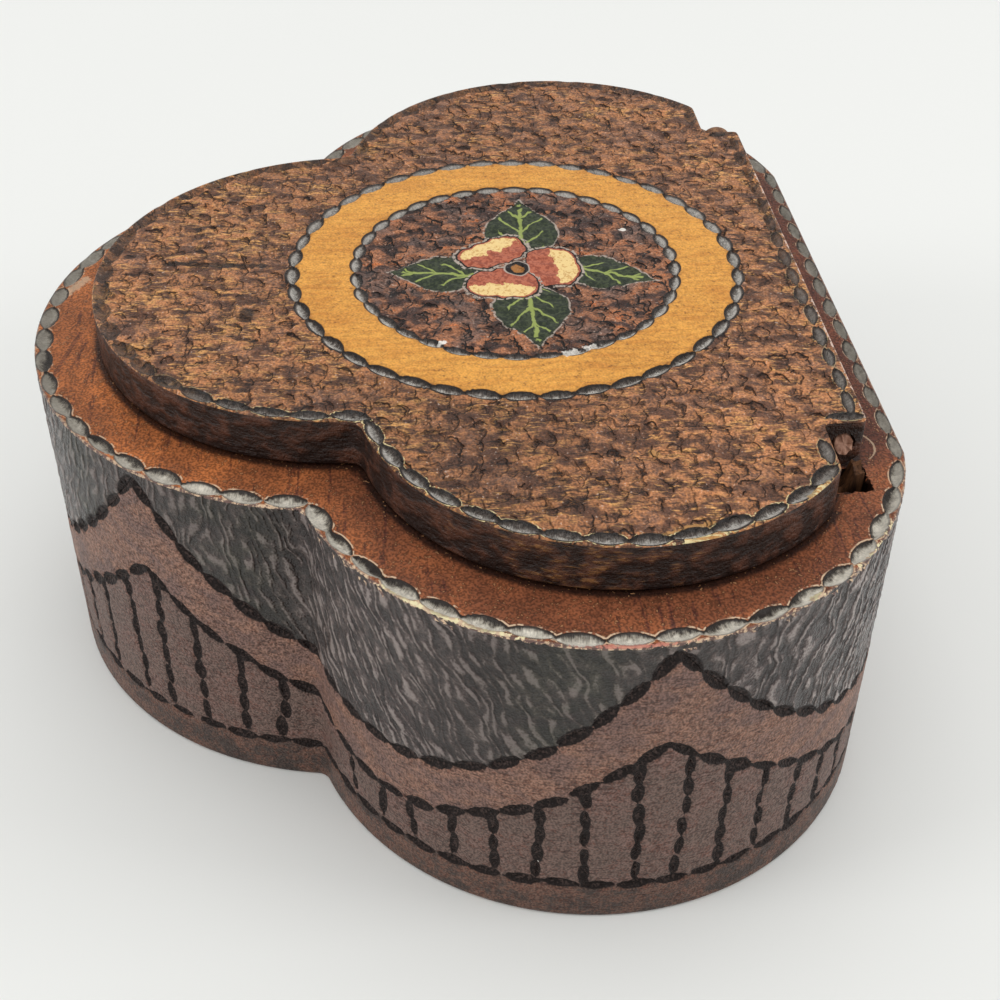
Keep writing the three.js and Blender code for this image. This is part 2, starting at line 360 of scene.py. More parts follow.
class ReliefBoard(Board):
    """Geometry nodes that press a pattern into a mesh, with the same maths as the shaders."""

    def __init__(self, name: str) -> None:
        """Makes the group with its way in and out."""
        tree = bpy.data.node_groups.new(name, "GeometryNodeTree")
        super().__init__(tree)
        self.kept: dict[str, Value] = {}
        for way in ("INPUT", "OUTPUT"):
            tree.interface.new_socket("Geometry", in_out=way, socket_type="NodeSocketGeometry")
        metres = self.value("GeometryNodeInputPosition", {}, {})
        self.place = self.scaled(metres, (1 / MM,) * 3)
        self.x, self.y, self.z = self.split(self.place)

    def attribute(self, name: str) -> Value:
        """A number that the mesh carries at each point."""
        return self.value("GeometryNodeInputNamedAttribute", {"data_type": "FLOAT"}, {"Name": name})

    def keep(self, name: str, number: Value) -> Value:
        """Stores a number at each point, for the finish to read, and hands it back."""
        self.kept[name] = number
        return number

    def press(self, skin: bpy.types.Object, depth: Value) -> None:
        """Stores what is kept and moves every point of a mesh inwards along its normal.

        Args:
            skin: the object that is pressed.
            depth: how far, in millimetres.
        """
        inward = self.value("GeometryNodeInputNormal", {}, {})
        start = self.value("NodeGroupInput", {}, {})
        for name, number in self.kept.items():
            stored = {"Geometry": start, "Name": name, "Value": number}
            start = self.value("GeometryNodeStoreNamedAttribute", {"data_type": "FLOAT"}, stored)
        inputs = {"Geometry": start, "Offset": self.shade(inward, depth * -MM)}
        moved = self.value("GeometryNodeSetPosition", {}, inputs)
        self.node("NodeGroupOutput", {}, {0: moved})
        modify(skin, "NODES", node_group=self.tree)


# Modelling helpers


def choose(*objects: bpy.types.Object) -> None:
    """Selects only these objects and makes the first one active."""
    bpy.ops.object.select_all(action="DESELECT")
    for chosen in objects:
        chosen.select_set(True)
    bpy.context.view_layer.objects.active = objects[0]


@contextmanager
def editing(skin: bpy.types.Object) -> Iterator[None]:
    """Opens a mesh for edit operators, with everything in it selected, and closes it again."""
    choose(skin)
    bpy.ops.object.mode_set(mode="EDIT")
    bpy.ops.mesh.select_all(action="SELECT")
    yield
    bpy.ops.object.mode_set(mode="OBJECT")


def modify(skin: bpy.types.Object, kind: str, **settings: Any) -> None:
    """Applies a modifier to a mesh.

    Args:
        skin: the mesh's object.
        kind: the modifier's type.
        settings: what is set on it.
    """
    modifier = skin.modifiers.new(kind.lower(), kind)
    for name, setting in settings.items():
        setattr(modifier, name, setting)
    choose(skin)
    bpy.ops.object.modifier_apply(modifier=modifier.name)


def faces_of(skin: bpy.types.Object) -> tuple[np.ndarray, np.ndarray]:
    """The middles, in millimetres, and the normals of a mesh's faces, one row each."""
    faces = skin.data.polygons
    rows = np.empty((2, len(faces) * 3))
    faces.foreach_get("center", rows[0])
    faces.foreach_get("normal", rows[1])
    middle, normal = rows.reshape(2, -1, 3)
    return middle / MM, normal


def finish_faces(skin: bpy.types.Object, finishes: tuple[Any, ...], index: np.ndarray) -> None:
    """Makes a piece's materials and gives each face the one that its number says."""
    skin.data.materials.clear()
    for finish in finishes:
        skin.data.materials.append(finish.make())
    skin.data.polygons.foreach_set("material_index", index.astype(np.int32))


def points_of(skin: bpy.types.Object) -> np.ndarray:
    """A mesh's points in millimetres, one row each."""
    flat = np.empty(len(skin.data.vertices) * 3)
    skin.data.vertices.foreach_get("co", flat)
    return flat.reshape(-1, 3) / MM


def place_points(skin: bpy.types.Object, points: np.ndarray) -> None:
    """Puts a mesh's points where the rows say, in millimetres."""
    skin.data.vertices.foreach_set("co", (points * MM).ravel())
    skin.data.update()


def carry_roll(skin: bpy.types.Object, run: np.ndarray, half: float) -> None:
    """Stores a place on a round roll for each point, so that patterns close without a seam.

    Args:
        skin: the mesh.
        run: arc length of each point along the outline.
        half: half the outline's length.
    """
    radius = half / math.pi
    carry(skin, roll_x=radius * np.cos(run / radius), roll_y=radius * np.sin(run / radius))


def carry(skin: bpy.types.Object, **fields: np.ndarray) -> None:
    """Stores numbers at each point of a mesh, each under its name."""
    for name, numbers in fields.items():
        layer = skin.data.attributes.new(name, "FLOAT", "POINT")
        layer.data.foreach_set("value", numbers.astype(np.float32))


def totals(steps: np.ndarray) -> np.ndarray:
    """The distance covered before the first of some steps and after each of them."""
    return np.concatenate([[0], np.cumsum(steps)])


def band(name: str, rings: np.ndarray) -> bpy.types.Object:
    """Bends a flat grid round into a closed band.

    Args:
        name: the object's name.
        rings: places in millimetres, one row for each ring, from the lowest of them.

    Returns:
        The band, its seam merged and its two ends open.
    """
    rows, columns = rings.shape[:2]
    choose_none()
    bpy.ops.mesh.primitive_grid_add(x_subdivisions=columns, y_subdivisions=rows - 1, size=1)
    made = bpy.context.object
    made.name = name
    closed = np.concatenate([rings, rings[:, :1]], axis=1)
    place_points(made, closed.reshape(-1, 3))
    merge(made)
    return made


def choose_none() -> None:
    """Selects nothing."""
    bpy.ops.object.select_all(action="DESELECT")


def merge(skin: bpy.types.Object) -> None:
    """Merges points that lie in the same place."""
    with editing(skin):
        bpy.ops.mesh.remove_doubles(threshold=SAME_PLACE * MM)


def close_ends(skin: bpy.types.Object) -> None:
    """Fills the open ends of a skin and turns its faces outwards."""
    with editing(skin):
        bpy.ops.mesh.select_all(action="DESELECT")
        bpy.ops.mesh.select_non_manifold()
        bpy.ops.mesh.fill_holes(sides=0)
        bpy.ops.mesh.select_all(action="SELECT")
        bpy.ops.mesh.quads_convert_to_tris(quad_method="SHORTEST_DIAGONAL", ngon_method="BEAUTY")
        bpy.ops.mesh.normals_make_consistent(inside=False)


def cut_away(skin: bpy.types.Object, cutter: bpy.types.Object) -> None:
    """Takes a cutter's room out of a skin, and removes the cutter."""
    modify(skin, "BOOLEAN", operation="DIFFERENCE", solver="MANIFOLD", object=cutter)
    bpy.data.objects.remove(cutter)


def smooth(skin: bpy.types.Object, angle: float = 60.0) -> None:
    """Shades a skin smooth, apart from arrises sharper than an angle in degrees."""
    choose(skin)
    bpy.ops.object.shade_smooth_by_angle(angle=math.radians(angle))


def block(name: str, low: tuple[float, ...], high: tuple[float, ...], cuts: int = 0) -> bpy.types.Object:
    """A block between two corners in millimetres, divided so that its faces can be shaped."""
    choose_none()
    bpy.ops.mesh.primitive_cube_add(size=1)
    made = bpy.context.object
    made.name = name
    if cuts:
        with editing(made):
            bpy.ops.mesh.subdivide(number_cuts=cuts)
    share = points_of(made) * MM + 0.5
    place_points(made, np.array(low) + share * (np.array(high) - np.array(low)))
    return made


# Plan outlines and gouge cuts


@dataclass(frozen=True)
class LobedPlan:
    """Plan outline of one front lobe, two side lobes and a straight hinge side."""

    front_y: float
    front_r: float
    side_x: float
    side_y: float
    side_r: float
    back: float
    corner: float

    def _arcs(self) -> list[tuple[np.ndarray, float, float, float, int]]:
        """Centre, radius, first and last angle, and the side that the wood is on, for each arc of the right half."""
        front = np.array([0.0, self.front_y])
        side = np.array([self.side_x, self.side_y])
        reach = np.linalg.norm(side - front)
        to_front = self.front_r + self.corner
        to_side = self.side_r + self.corner
        along = (to_front**2 - to_side**2 + reach**2) / (2 * reach)
        off = math.sqrt(to_front**2 - along**2)
        ray = (side - front) / reach
        corner = front + along * ray + off * np.array([ray[1], -ray[0]])
        front_end = math.atan2(*(corner - front)[::-1])
        side_start = math.atan2(*(corner - side)[::-1])
        side_end = math.asin(min(1.0, (self.back - self.side_y) / self.side_r))
        return [
            (front, self.front_r, -math.pi / 2, front_end, 1),
            (corner, self.corner, front_end + math.pi, side_start + math.pi, -1),
            (side, self.side_r, side_start, side_end, 1),
        ]

    @property
    def back_x(self) -> float:
        """Half the length of the straight hinge side."""
        centre, radius, _, end, _ = self._arcs()[2]
        return float(centre[0] + radius * math.cos(end))

    @property
    def half(self) -> float:
        """Arc length from the front tip to the middle of the hinge side."""
        return sum(abs(end - start) * radius for _, radius, start, end, _ in self._arcs()) + self.back_x

    def ring(self, counts: tuple[int, int, int, int], inset: float = 0.0) -> np.ndarray:
        """The closed outline as points, anticlockwise from the front tip.

        Args:
            counts: points on the front lobe, corner, side lobe and hinge side of one half.
            inset: how far inside the outline it runs.

        Returns:
            One row for each point.
        """
        right = []
        for (centre, radius, start, end, sign), count in zip(self._arcs(), counts):
            for angle in start + (end - start) * np.arange(count) / count:
                ray = np.array([math.cos(angle), math.sin(angle)])
                right.append(centre + ray * (radius - sign * inset))
        side = self._arcs()[2]
        last = side[0] + np.array([math.cos(side[3]), math.sin(side[3])]) * (side[1] - inset)
        corner_x = min(last[0], self.back_x)
        for share in np.arange(counts[3] + 1) / counts[3]:
            right.append(np.array([corner_x * (1 - share), self.back - inset]))
        left = [point * (-1, 1) for point in right[1:-1][::-1]]
        return np.array(right + left)

    def locate(self, points: np.ndarray) -> tuple[np.ndarray, np.ndarray]:
        """Lays points on the outline.

        Args:
            points: rows whose first two numbers are x and y.

        Returns:
            Arc length from the front tip, positive towards +X, and the distance from the outline.
        """
        x, y = np.abs(points[:, 0]), points[:, 1]
        best = np.full(len(x), 1e9)
        run = np.zeros(len(x))
        passed = 0.0
        for centre, radius, start, end, _ in self._arcs():
            angle = np.arctan2(y - centre[1], x - centre[0])
            turned = (angle - start + math.pi) % (2 * math.pi) - math.pi
            share = np.clip(turned / (end - start), 0, 1)
            nearest = start + share * (end - start)
            gap = np.hypot(x - centre[0] - radius * np.cos(nearest), y - centre[1] - radius * np.sin(nearest))
            length = abs(end - start) * radius
            closer = gap < best
            best = np.where(closer, gap, best)
            run = np.where(closer, passed + share * length, run)
            passed += length
        on_back = np.clip(x, 0, self.back_x)
        gap = np.hypot(x - on_back, y - self.back)
        closer = gap < best
        best = np.where(closer, gap, best)
        run = np.where(closer, passed + self.back_x - on_back, run)
        return np.where(points[:, 0] < 0, -run, run), best


@dataclass(frozen=True)
class Gouge:
    """Pitch, width and depth of a chain's cuts, how far the hand strays, and how pointed their ends are."""

    pitch: float
    width: float
    depth: float
    stray: float = 0.1
    taper: float = 0.72


@dataclass
class CutField:
    """Gouge cuts on a flat or unrolled face, pressed in together."""

    seed: int
    cuts: list[tuple[float, ...]] = field(default_factory=list)

    def __post_init__(self) -> None:
        """Seeds the hand that makes the cuts."""
        self.hand = np.random.default_rng(self.seed)

    def add(self, x: float, y: float, turn: float, length: float, gouge: Gouge) -> None:
        """Adds a cut.

        Args:
            x: its middle across the face.
            y: its middle up the face.
            turn: its direction as an angle.
            length: its length.
            gouge: the tool.
        """
        stray = self.hand.normal(0, 1, 5)
        self.cuts.append(
            (
                x + stray[0] * gouge.stray,
                y + stray[1] * gouge.stray * 0.6,
                turn + stray[2] * gouge.stray * 0.45,
                length * (1 + stray[3] * gouge.stray * 0.4),
                gouge.width * (1 + stray[4] * gouge.stray),
                gouge.depth,
                gouge.taper,
            )
        )

    def slim(self, back: float, share: float, shift: float) -> None:
        """Narrows and shortens the cuts that lie behind a line and moves them back a little."""
        for number, (x, y, turn, length, width, *rest) in enumerate(self.cuts):
            if y > back:
                self.cuts[number] = (x, y + shift, turn, length * 0.92, width * share, *rest)

    def press(self, x: np.ndarray, y: np.ndarray, lean: float = 1.0) -> dict[str, np.ndarray]:
        """Reads the cuts at places on the face.

        Args:
            x: places across the face.
            y: places up the face.
            lean: above 1 the deepest line lies nearer the cut's left side, seen along it.

        Returns:
            inside, above 0 in a cut and up to 1 at its middle; depth; side, from -1 on the cut's right to 1 on
            its left; along, the distance along the cut.
        """
        marks = {name: np.zeros(len(x)) for name in ("inside", "depth", "side", "along")}
        marks["inside"] -= 1
        for middle_x, middle_y, turn, length, width, depth, taper in self.cuts:
            near = np.nonzero((np.abs(x - middle_x) < length) & (np.abs(y - middle_y) < length))[0]
            dx, dy = x[near] - middle_x, y[near] - middle_y
            along = (dx * math.cos(turn) + dy * math.sin(turn)) / (length / 2)
            side = (dy * math.cos(turn) - dx * math.sin(turn)) / (width / 2)
            reach = np.maximum(1 - along**2, 0) ** taper
            inside = reach - np.abs(side) - np.maximum(np.abs(along) - 1, 0)
            better = inside > marks["inside"][near]
            chosen = near[better]
            marks["inside"][chosen] = inside[better]
            share = np.clip(side / np.maximum(reach, 0.05), -1, 1)[better]
            profile = np.sin(math.pi * ((share + 1) / 2) ** lean)
            marks["depth"][chosen] = depth * np.sqrt(reach[better]) * np.maximum(profile, 0) * (inside[better] > 0)
            marks["side"][chosen] = share
            marks["along"][chosen] = along[better] * length / 2
        return marks


@dataclass(frozen=True)
class Swag:
    """A garland line round the wall: low between two peaks and rising ever faster towards each."""

    peak: float
    valley: float
    power: float
    peaks: tuple[float, ...] = (-104.5, -34.5, 34.5, 104.5)

    def height(self, run: np.ndarray, around: float) -> np.ndarray:
        """The line's height at arc lengths on an outline that is so long all round."""
        tops = np.array(sorted([*self.peaks, around / 2, -around / 2]))
        tops = np.concatenate([[tops[-2] - around], tops, [tops[1] + around]])
        right = np.clip(np.searchsorted(tops, run), 1, len(tops) - 1)
        half = (tops[right] - tops[right - 1]) / 2
        share = np.abs(run - (tops[right] - half)) / half
        return self.valley + (self.peak - self.valley) * share**self.power


# Layout shared by the pieces, as in the solids that they stand for

BODY_HEIGHT = 44.4
LID_BOTTOM = 44.7
LID_TOP = 50.9
HINGE_Y = 43.3
HINGE_Z = 47.8
NOTCH_X = 35.8
NOTCH_FRONT = 40.65
MEDALLION_Y = 9.5
RING_OUTER = 28.3
RING_INNER = 20.4
DISC_REACH = 19.0
BACK_CUT_SHARE = 0.72
HOLE_RADIUS = 1.4
EAR_HEAD = 2.3
EAR_GAP = 0.35
EAR_TENON = 6.0

# Ridges of the tooling round the whole side, a whole number so that they close on themselves
RIPPLES = 262

BODY_PLAN = LobedPlan(front_y=-12.8, front_r=38.9, side_x=26.9, side_y=16.35, side_r=36, back=51.7, corner=2)
CAVITY_PLAN = LobedPlan(front_y=-12.8, front_r=26.4, side_x=26.9, side_y=16.35, side_r=23.5, back=37.2, corner=4)
LID_PLAN = LobedPlan(front_y=-12.2, front_r=31.4, side_x=25.6, side_y=17.8, side_r=29.4, back=45.7, corner=2)


class Slot(Enum):
    """Material slots of the record."""

    BODY = "body_wood"
    LID = "lid_wood"
    FITTING = "fitting_wood"


class Body(Enum):
    """Moving bodies of the record."""

    BODY = "body"
    LID = "lid"


class BodyFace(IntEnum):
    """Kinds of face on the body, in the order of their materials."""

    WALL = 0
    LEDGE = 1
    INSIDE = 2
    UNDERSIDE = 3
    MORTISE = 4


class LidFace(IntEnum):
    """Kinds of face on the lid, in the order of their materials."""

    FIELD = 0
    SIDE = 1
    UNDERSIDE = 2
    DISC = 3


def settle(piece: bpy.types.Object, node: str, body: Body) -> None:
    """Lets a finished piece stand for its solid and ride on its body."""
    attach(piece, body.value)
    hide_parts(node)
    log.info("%s for %s: %d faces", piece.name, node, len(piece.data.polygons))


# Finishes


@dataclass(frozen=True)
class WallFinish:
    """Stained side of the body: leathery charcoal swags, drawn darker in the tooling's valleys and with painted
    highlights on its crests, mauve bands with wood pores, black cuts with painted grey highlights.
    """

    charcoal: Colour = paint(82, 69, 65)
    plum_black: Colour = paint(64, 50, 47)
    green_black: Colour = paint(58, 54, 44)
    # Painted highlight on the crests of the tooling
    ridge_highlight: Colour = paint(176, 164, 158)
    mauve: Colour = paint(112, 86, 78)
    tan: Colour = paint(134, 100, 84)
    rust: Colour = paint(104, 62, 48)
    pore: Colour = paint(60, 36, 30)
    picket_mauve: Colour = paint(102, 82, 74)
    foot: Colour = paint(104, 76, 64)
    foot_dark: Colour = paint(66, 54, 49)
    cut: Colour = paint(26, 16, 14)
    cut_lit: Colour = paint(84, 68, 63)
    speck: Colour = paint(232, 226, 216)

    def make(self) -> bpy.types.Material:
        """Builds the material."""
        board = ShaderBoard("stained_carved_wall")
        upper, lower, inside = board.attributes("above_upper", "above_lower", "cut_inside")
        hammer, cloud, blotch, green = board.attributes("hammer_zone", "cloud", "blotch", "green_zone")
        grit, fine = board.grains((3, 4))
        pores = board.noise(board.on_roll(), (1.4, 1.4, 0.3), 1, 0.6, 0, 6)
        dents = leather(board, board.joined(*board.attributes("grain_x", "grain_y", "grain_z")))
        ridge = (dents + (grit - 0.5) * 0.8 + (fine - 0.5) * 0.5).most(0.0).least(1.0)
        on_panel = upper.step(-0.1, 0.1)
        dark = board.coats(
            self.charcoal,
            (cloud.step(0.42, 0.58), self.plum_black),
            (green * blotch.step(0.3, 0.6), self.green_black),
        )
        # Painted light: the swags are drawn darker in the tooling's valleys and lighter on its crests, and the
        # highest crests get a silvery painted highlight
        dark = board.shade(dark, ridge.step(0.05, 0.85) * (0.8 + hammer * 0.45) + 0.36)
        dark = board.mix(ridge.step(0.5, 0.95) * (0.03 + hammer * 0.75), dark, self.ridge_highlight)
        warm = board.mix(blotch.step(0.36, 0.62), self.mauve, self.tan)
        low = board.mix(blotch.step(0.4, 0.7), self.picket_mauve, self.mauve)
        foot = board.mix((blotch + (grit - 0.5) * 0.5).step(0.36, 0.6), self.foot_dark, self.foot)
        bands = board.coats(
            warm,
            (lower.step(0.2, -0.2), low),
            (board.z.step(5.9, 5.3), foot),
            ((pores + (cloud - 0.5) * 0.4).step(0.58, 0.72) * 0.7, self.pore),
            ((grit + (blotch - 0.5) * 0.6).step(0.54, 0.72) * 0.45, self.rust),
        )
        bands = board.shade(bands, 1.56 - fine.step(0.3, 0.7) * 0.7 - grit.step(0.3, 0.7) * 0.3)
        core = inside.step(0.1, 0.7) * 0.6
        # Painted highlight: the middle of each cut is drawn greyer and lighter than its edges
        groove = board.mix((grit * 0.5 + fine * 0.5).step(0.46, 0.66) * (0.15 + core), self.cut, self.cut_lit)
        colour = board.coats(
            bands,
            (on_panel, dark),
            ((inside + (grit - 0.5) * 0.3).step(-0.08, 0.08), groove),
            (board.specks(board.on_roll(), 5.5, 0.17, 0.4, 7), self.speck),
        )
        in_cut = inside.step(-0.05, 0.15)
        coat = (0.3 + on_panel * (0.25 + hammer * 0.45)) * (1 - in_cut * 0.55)
        height = dents * (0.3 + hammer * 0.7) * on_panel + grit * 0.3 + fine * 0.3
        height = height - pores * 0.3 * (1 - on_panel)
        return board.finish(colour, 0.6, board.bump(height, 0.8), coat, 0.27)


def leather(board: "ShaderBoard | ReliefBoard", place: Value) -> Value:
    """Leathery tooling of the dark swags: thin slanting ridges that break up over soft lumps.

    Args:
        board: a shader or a relief.
        place: place on the roll, slanted along the strokes, in millimetres.

    Returns:
        Its height from 0 to 1.
    """
    roll_x, roll_y, _ = board.split(place)
    warp = board.noise(place, (3.0, 3.0, 6.0), 1, 0.6, 0, 10)
    turn = board.math("ARCTAN2", roll_y, roll_x)
    crests = (turn * RIPPLES + (warp - 0.5) * 22).sine() * 0.5 + 0.5
    lumps = board.noise(place, (1.2, 1.2, 2.0), 0, 0.5, 0, 9).step(0.3, 0.7)
    return crests * (0.3 + lumps * 0.35) + lumps * 0.35


@dataclass(frozen=True)
class LedgeFinish:
    """Polished red-brown top of the body, with cuts along its arris drawn dark on their inner walls and silvery on
    their floors as painted shade and painted highlight, and raw wood where that is rubbed.

    The scratch is part of a circle, given by its middle and its radius.
    """

    orange: Colour = paint(160, 93, 48)
    red: Colour = paint(114, 66, 43)
    streak: Colour = paint(62, 30, 28)
    # Cut colours: dark for stain and painted shade, mid grey, and a pale painted highlight on the floors
    cut_stain_and_shade: Colour = paint(38, 29, 23)
    cut_mid: Colour = paint(140, 131, 117)
    cut_highlight: Colour = paint(230, 223, 208)
    outline: Colour = paint(206, 178, 148)
    cream: Colour = paint(232, 220, 176)
    pink: Colour = paint(196, 124, 108)
    spark: Colour = paint(226, 166, 116)
    mauve: Colour = paint(104, 82, 76)
    # Painted shadow: the dark line under the lid's edge, also laid over the ledge under the lid
    gap: Colour = paint(26, 14, 11)
    dark_streaks: tuple[Mark, ...] = (((1.5, -46.0), (12.5, -48.6), 0.36), ((3.5, -44.9), (9.5, -46.3), 0.24))
    scuff: Mark = ((-11.5, -46.8), (-8.2, -49.0), 0.9)
    scratch: tuple[float, float, float] = (32.2, 45.4, 3.0)

    def make(self) -> bpy.types.Material:
        """Builds the material."""
        board = ShaderBoard("polished_ledge")
        inside, side, along = board.attributes("cut_inside", "cut_side", "cut_along")
        edge, light, lid_gap = board.attributes("edge", "chain_light", "lid_gap")
        grit, fine = board.grains((12, 16))
        ragged = board.noise(board.place, 0.6, 2, 0.7, 0, 15)
        base = self._wood(board, grit, fine, lid_gap)
        fibre = board.fibres(along, side)
        turn = board.noise(board.joined(*board.attributes("roll_x", "roll_y")), 5, 1, 0.6, 0, 17)
        across = side + (grit - 0.5) * 1.2 + (turn - 0.5) * 2.4 + (fibre - 0.5) * 2.2
        # Painted light: each cut is drawn dark on its inner wall and silvery on its floor, the silver only where
        # chain_light is high and the whole cut brighter on the near side, with dark edges and a painted shadow beside
        # it
        groove = board.coats(
            self.cut_stain_and_shade,
            (across.step(0.75, 0.5), self.cut_mid),
            (across.step(0.6, 0.0) * across.step(-1.15, -0.9) * light, self.cut_highlight),
            (inside.step(0.3, 0.05) * (1 - light * 0.4), self.cut_stain_and_shade),
        )
        groove = board.shade(groove, (0.5 + fibre.step(0.3, 0.7) * 0.4 + fine * 0.4) * (0.68 + light * 0.52))
        # The pale lips round the cuts and the pale worn outer arris are drawn paler where chain_light is high: real
        # wear with painted light on the near side
        lip = inside.step(-0.3, -0.2) * inside.step(0.0, -0.12) * edge.step(2.3, 2.1)
        shadow = inside.step(-0.1, 0.0) * inside.step(0.24, 0.06) * side.step(-0.2, 0.3)
        worn = board.mix(ragged.step(0.46, 0.58) * light, self.mauve, self.outline)
        raw = (board.attribute("raw_cream") + (ragged - 0.5) * 1.6).step(0.5, 0.62)
        blush = (board.attribute("raw_pink") + (ragged - 0.5) * 1.4).step(0.5, 0.62)
        base = board.coats(
            base,
            (lip * grit.step(0.42, 0.56) * (0.3 + light * 0.7), self.outline),
            (inside.step(-0.08, 0.04), groove),
            (shadow * 0.9, self.cut_stain_and_shade),
            (edge.step(0.42, 0.1) * inside.step(0.1, -0.05), board.shade(worn, 0.7 + grit * 0.8)),
            (raw, board.mix(grit.step(0.4, 0.6), self.cream, self.outline)),
            (blush * 0.8, self.pink),
        )
        in_cut = inside.step(-0.05, 0.1)
        height = grit * 0.2 + fine * 0.3 + fibre * in_cut * 0.6
        return board.finish(base, 0.55, board.bump(height, 0.22), 0.16 + in_cut * 0.5, 0.3)

    def _wood(self, board: ShaderBoard, grit: Value, fine: Value, lid_gap: Value) -> Value:
        """Grained wood of the ledge, redder at the back, with its streaks, its scuff and a painted shadow line under
        the lid's edge.
        """
        grain = board.noise(board.place, (7, 0.7, 3), 2, 0.6, 0, 11)
        cloud = board.noise(board.place, 7, 2, 0.6, 0, 13)
        front = board.y.step(4, -46)
        behind = board.y.step(44.5, 46.5) * abs(board.x).step(38, 30)
        base = board.coats(
            self.red,
            (front * 0.75 + (cloud - 0.5) * 1.2, self.orange),
            (behind * 0.6, self.streak),
            ((grain + (grit - 0.5) * 0.25).step(0.56, 0.72) * 0.7, self.streak),
        )
        base = board.shade(base, cloud.step(0.3, 0.7) * 0.4 + 0.8)
        streaks = [(board.stroke(mark, grit) * 0.5, self.streak) for mark in self.dark_streaks]
        # Painted shadow: nearly black up to a quarter millimetre outside the lid's outline and all under the lid,
        # fading out by about a millimetre
        base = board.coats(base, *streaks, (lid_gap.step(1.1, 0.25) * 0.9, self.gap))
        base = board.shade(base, 1.62 - grit.step(0.3, 0.7) * 0.25 - fine.step(0.3, 0.7) * 0.85)
        middle_x, middle_y, radius = self.scratch
        bend = board.length(board.x - middle_x, board.y - middle_y)
        arc = (abs(bend - radius) + (grit - 0.5) * 0.2).step(0.18, 0.06) * board.y.step(47.0, 47.4)
        return board.coats(
            base,
            ((grit * 0.4 + fine * 0.6).step(0.65, 0.72) * 0.4, self.spark),
            (board.stroke(self.scuff, grit) * 0.6, self.outline),
            (arc * 0.6, self.outline),
        )


@dataclass(frozen=True)
class PlainWoodFinish:
    """Bare or lightly stained wood, its grain along one axis."""

    name: str
    pale: Colour
    dark: Colour
    along: tuple[float, float, float]
    gloss: float = 0.6

    def make(self) -> bpy.types.Material:
        """Builds the material."""
        board = ShaderBoard(self.name)
        long = tuple(0.7 + 8 * part for part in self.along)
        fine = tuple(0.16 + 2.2 * part for part in self.along)
        grain = board.noise(board.place, long, 3, 0.65, 0, 21)
        pores = board.noise(board.place, fine, 2, 0.7, 0, 22)
        colour = board.mix(grain.step(0.35, 0.7), self.pale, self.dark)
        colour = board.shade(colour, 1.08 - pores.step(0.5, 0.8) * 0.35)
        height = pores * 0.6 + grain * 0.4
        return board.finish(colour, self.gloss + pores * 0.15, board.bump(height, 0.06))


def bark(board: "ShaderBoard | ReliefBoard", across: Value, along: Value) -> tuple[Value, Value]:
    """Overlapping scoops that a small round punch left on the lid, each ending in a steep crescent.

    Args:
        board: a shader or a relief, so that the colour and the form are the same pattern.
        across: place across the board's grain, in millimetres and a little warped.
        along: place along it.

    Returns:
        How deep the surface lies, from 0 to 1, and how near a dark crescent is, from 0 to 1: a crack line with
        painted shadow along the steep end of a scoop.
    """
    warped = board.joined(across, along, 0.0)
    fine = board.noise(warped, (0.8, 1.2, 1), 1, 0.65, 0, 34)
    depth, crack_and_shadow = None, None
    for size, seed in ((2.2, 33), (2.9, 36)):
        cell = board.cells(warped, size, "F1", seed, flat=True)
        reach = Value(board, cell.outputs["Distance"]) + (fine - 0.5) * 0.3
        place = board.scaled(warped, (1 / size,) * 3, seed)
        off_x, off_y, _ = board.split(board.vector("SUBTRACT", place, Value(board, cell.outputs["Position"])))
        pick, turn, _ = board.split(Value(board, cell.outputs["Color"]))
        angle = turn * 2.8 + 0.2
        lean = (off_x * angle.cosine() + off_y * angle.sine()) * 2.2
        scoop = reach.step(0.5, 0.44) * lean.step(-0.7, 0.9) * (0.55 + pick * 0.45)
        # Dark crescent along the steep end of a scoop: crack and painted shadow
        arc = reach.step(0.4, 0.455) * reach.step(0.515, 0.465) * lean.step(0.0, 0.5) * (0.45 + pick * 0.55)
        depth = scoop if depth is None else depth.most(scoop)
        crack_and_shadow = arc if crack_and_shadow is None else crack_and_shadow.most(arc)
    return depth * 0.7 + fine.step(0.2, 0.8) * 0.3, crack_and_shadow


@dataclass(frozen=True)
class Leaf:
    """Painted leaf from its base to its tip, in millimetres from the middle of the ring."""

    base: tuple[float, float]
    tip: tuple[float, float]
    half_width: float

    def fields(self, board: ShaderBoard, u: Value, v: Value) -> tuple[Value, Value]:
        """How far inside the outline a place is, and how near a vein, both in millimetres."""
        du, dv = self.tip[0] - self.base[0], self.tip[1] - self.base[1]
        length = math.hypot(du, dv)
        along = ((u - self.base[0]) * (du / length) + (v - self.base[1]) * (dv / length)) / length
        aside = abs((v - self.base[1]) * (du / length) - (u - self.base[0]) * (dv / length))
        share = along.most(0.0).least(1.0)
        swell = (share**0.8 * math.pi).sine() ** 1.15
        ends = ((1 - along) * length + 0.2).least(along * length)
        inside = (swell * self.half_width - aside).least(ends)
        sprig = board.math("PINGPONG", along * length - aside * 1.25 + 0.6, 1.75)
        sprig = sprig.most(aside - self.half_width * 0.55)
        vein = sprig.least(aside.most((abs(along - 0.5) - 0.34) * length)).most(0.75 - inside)
        return inside, vein


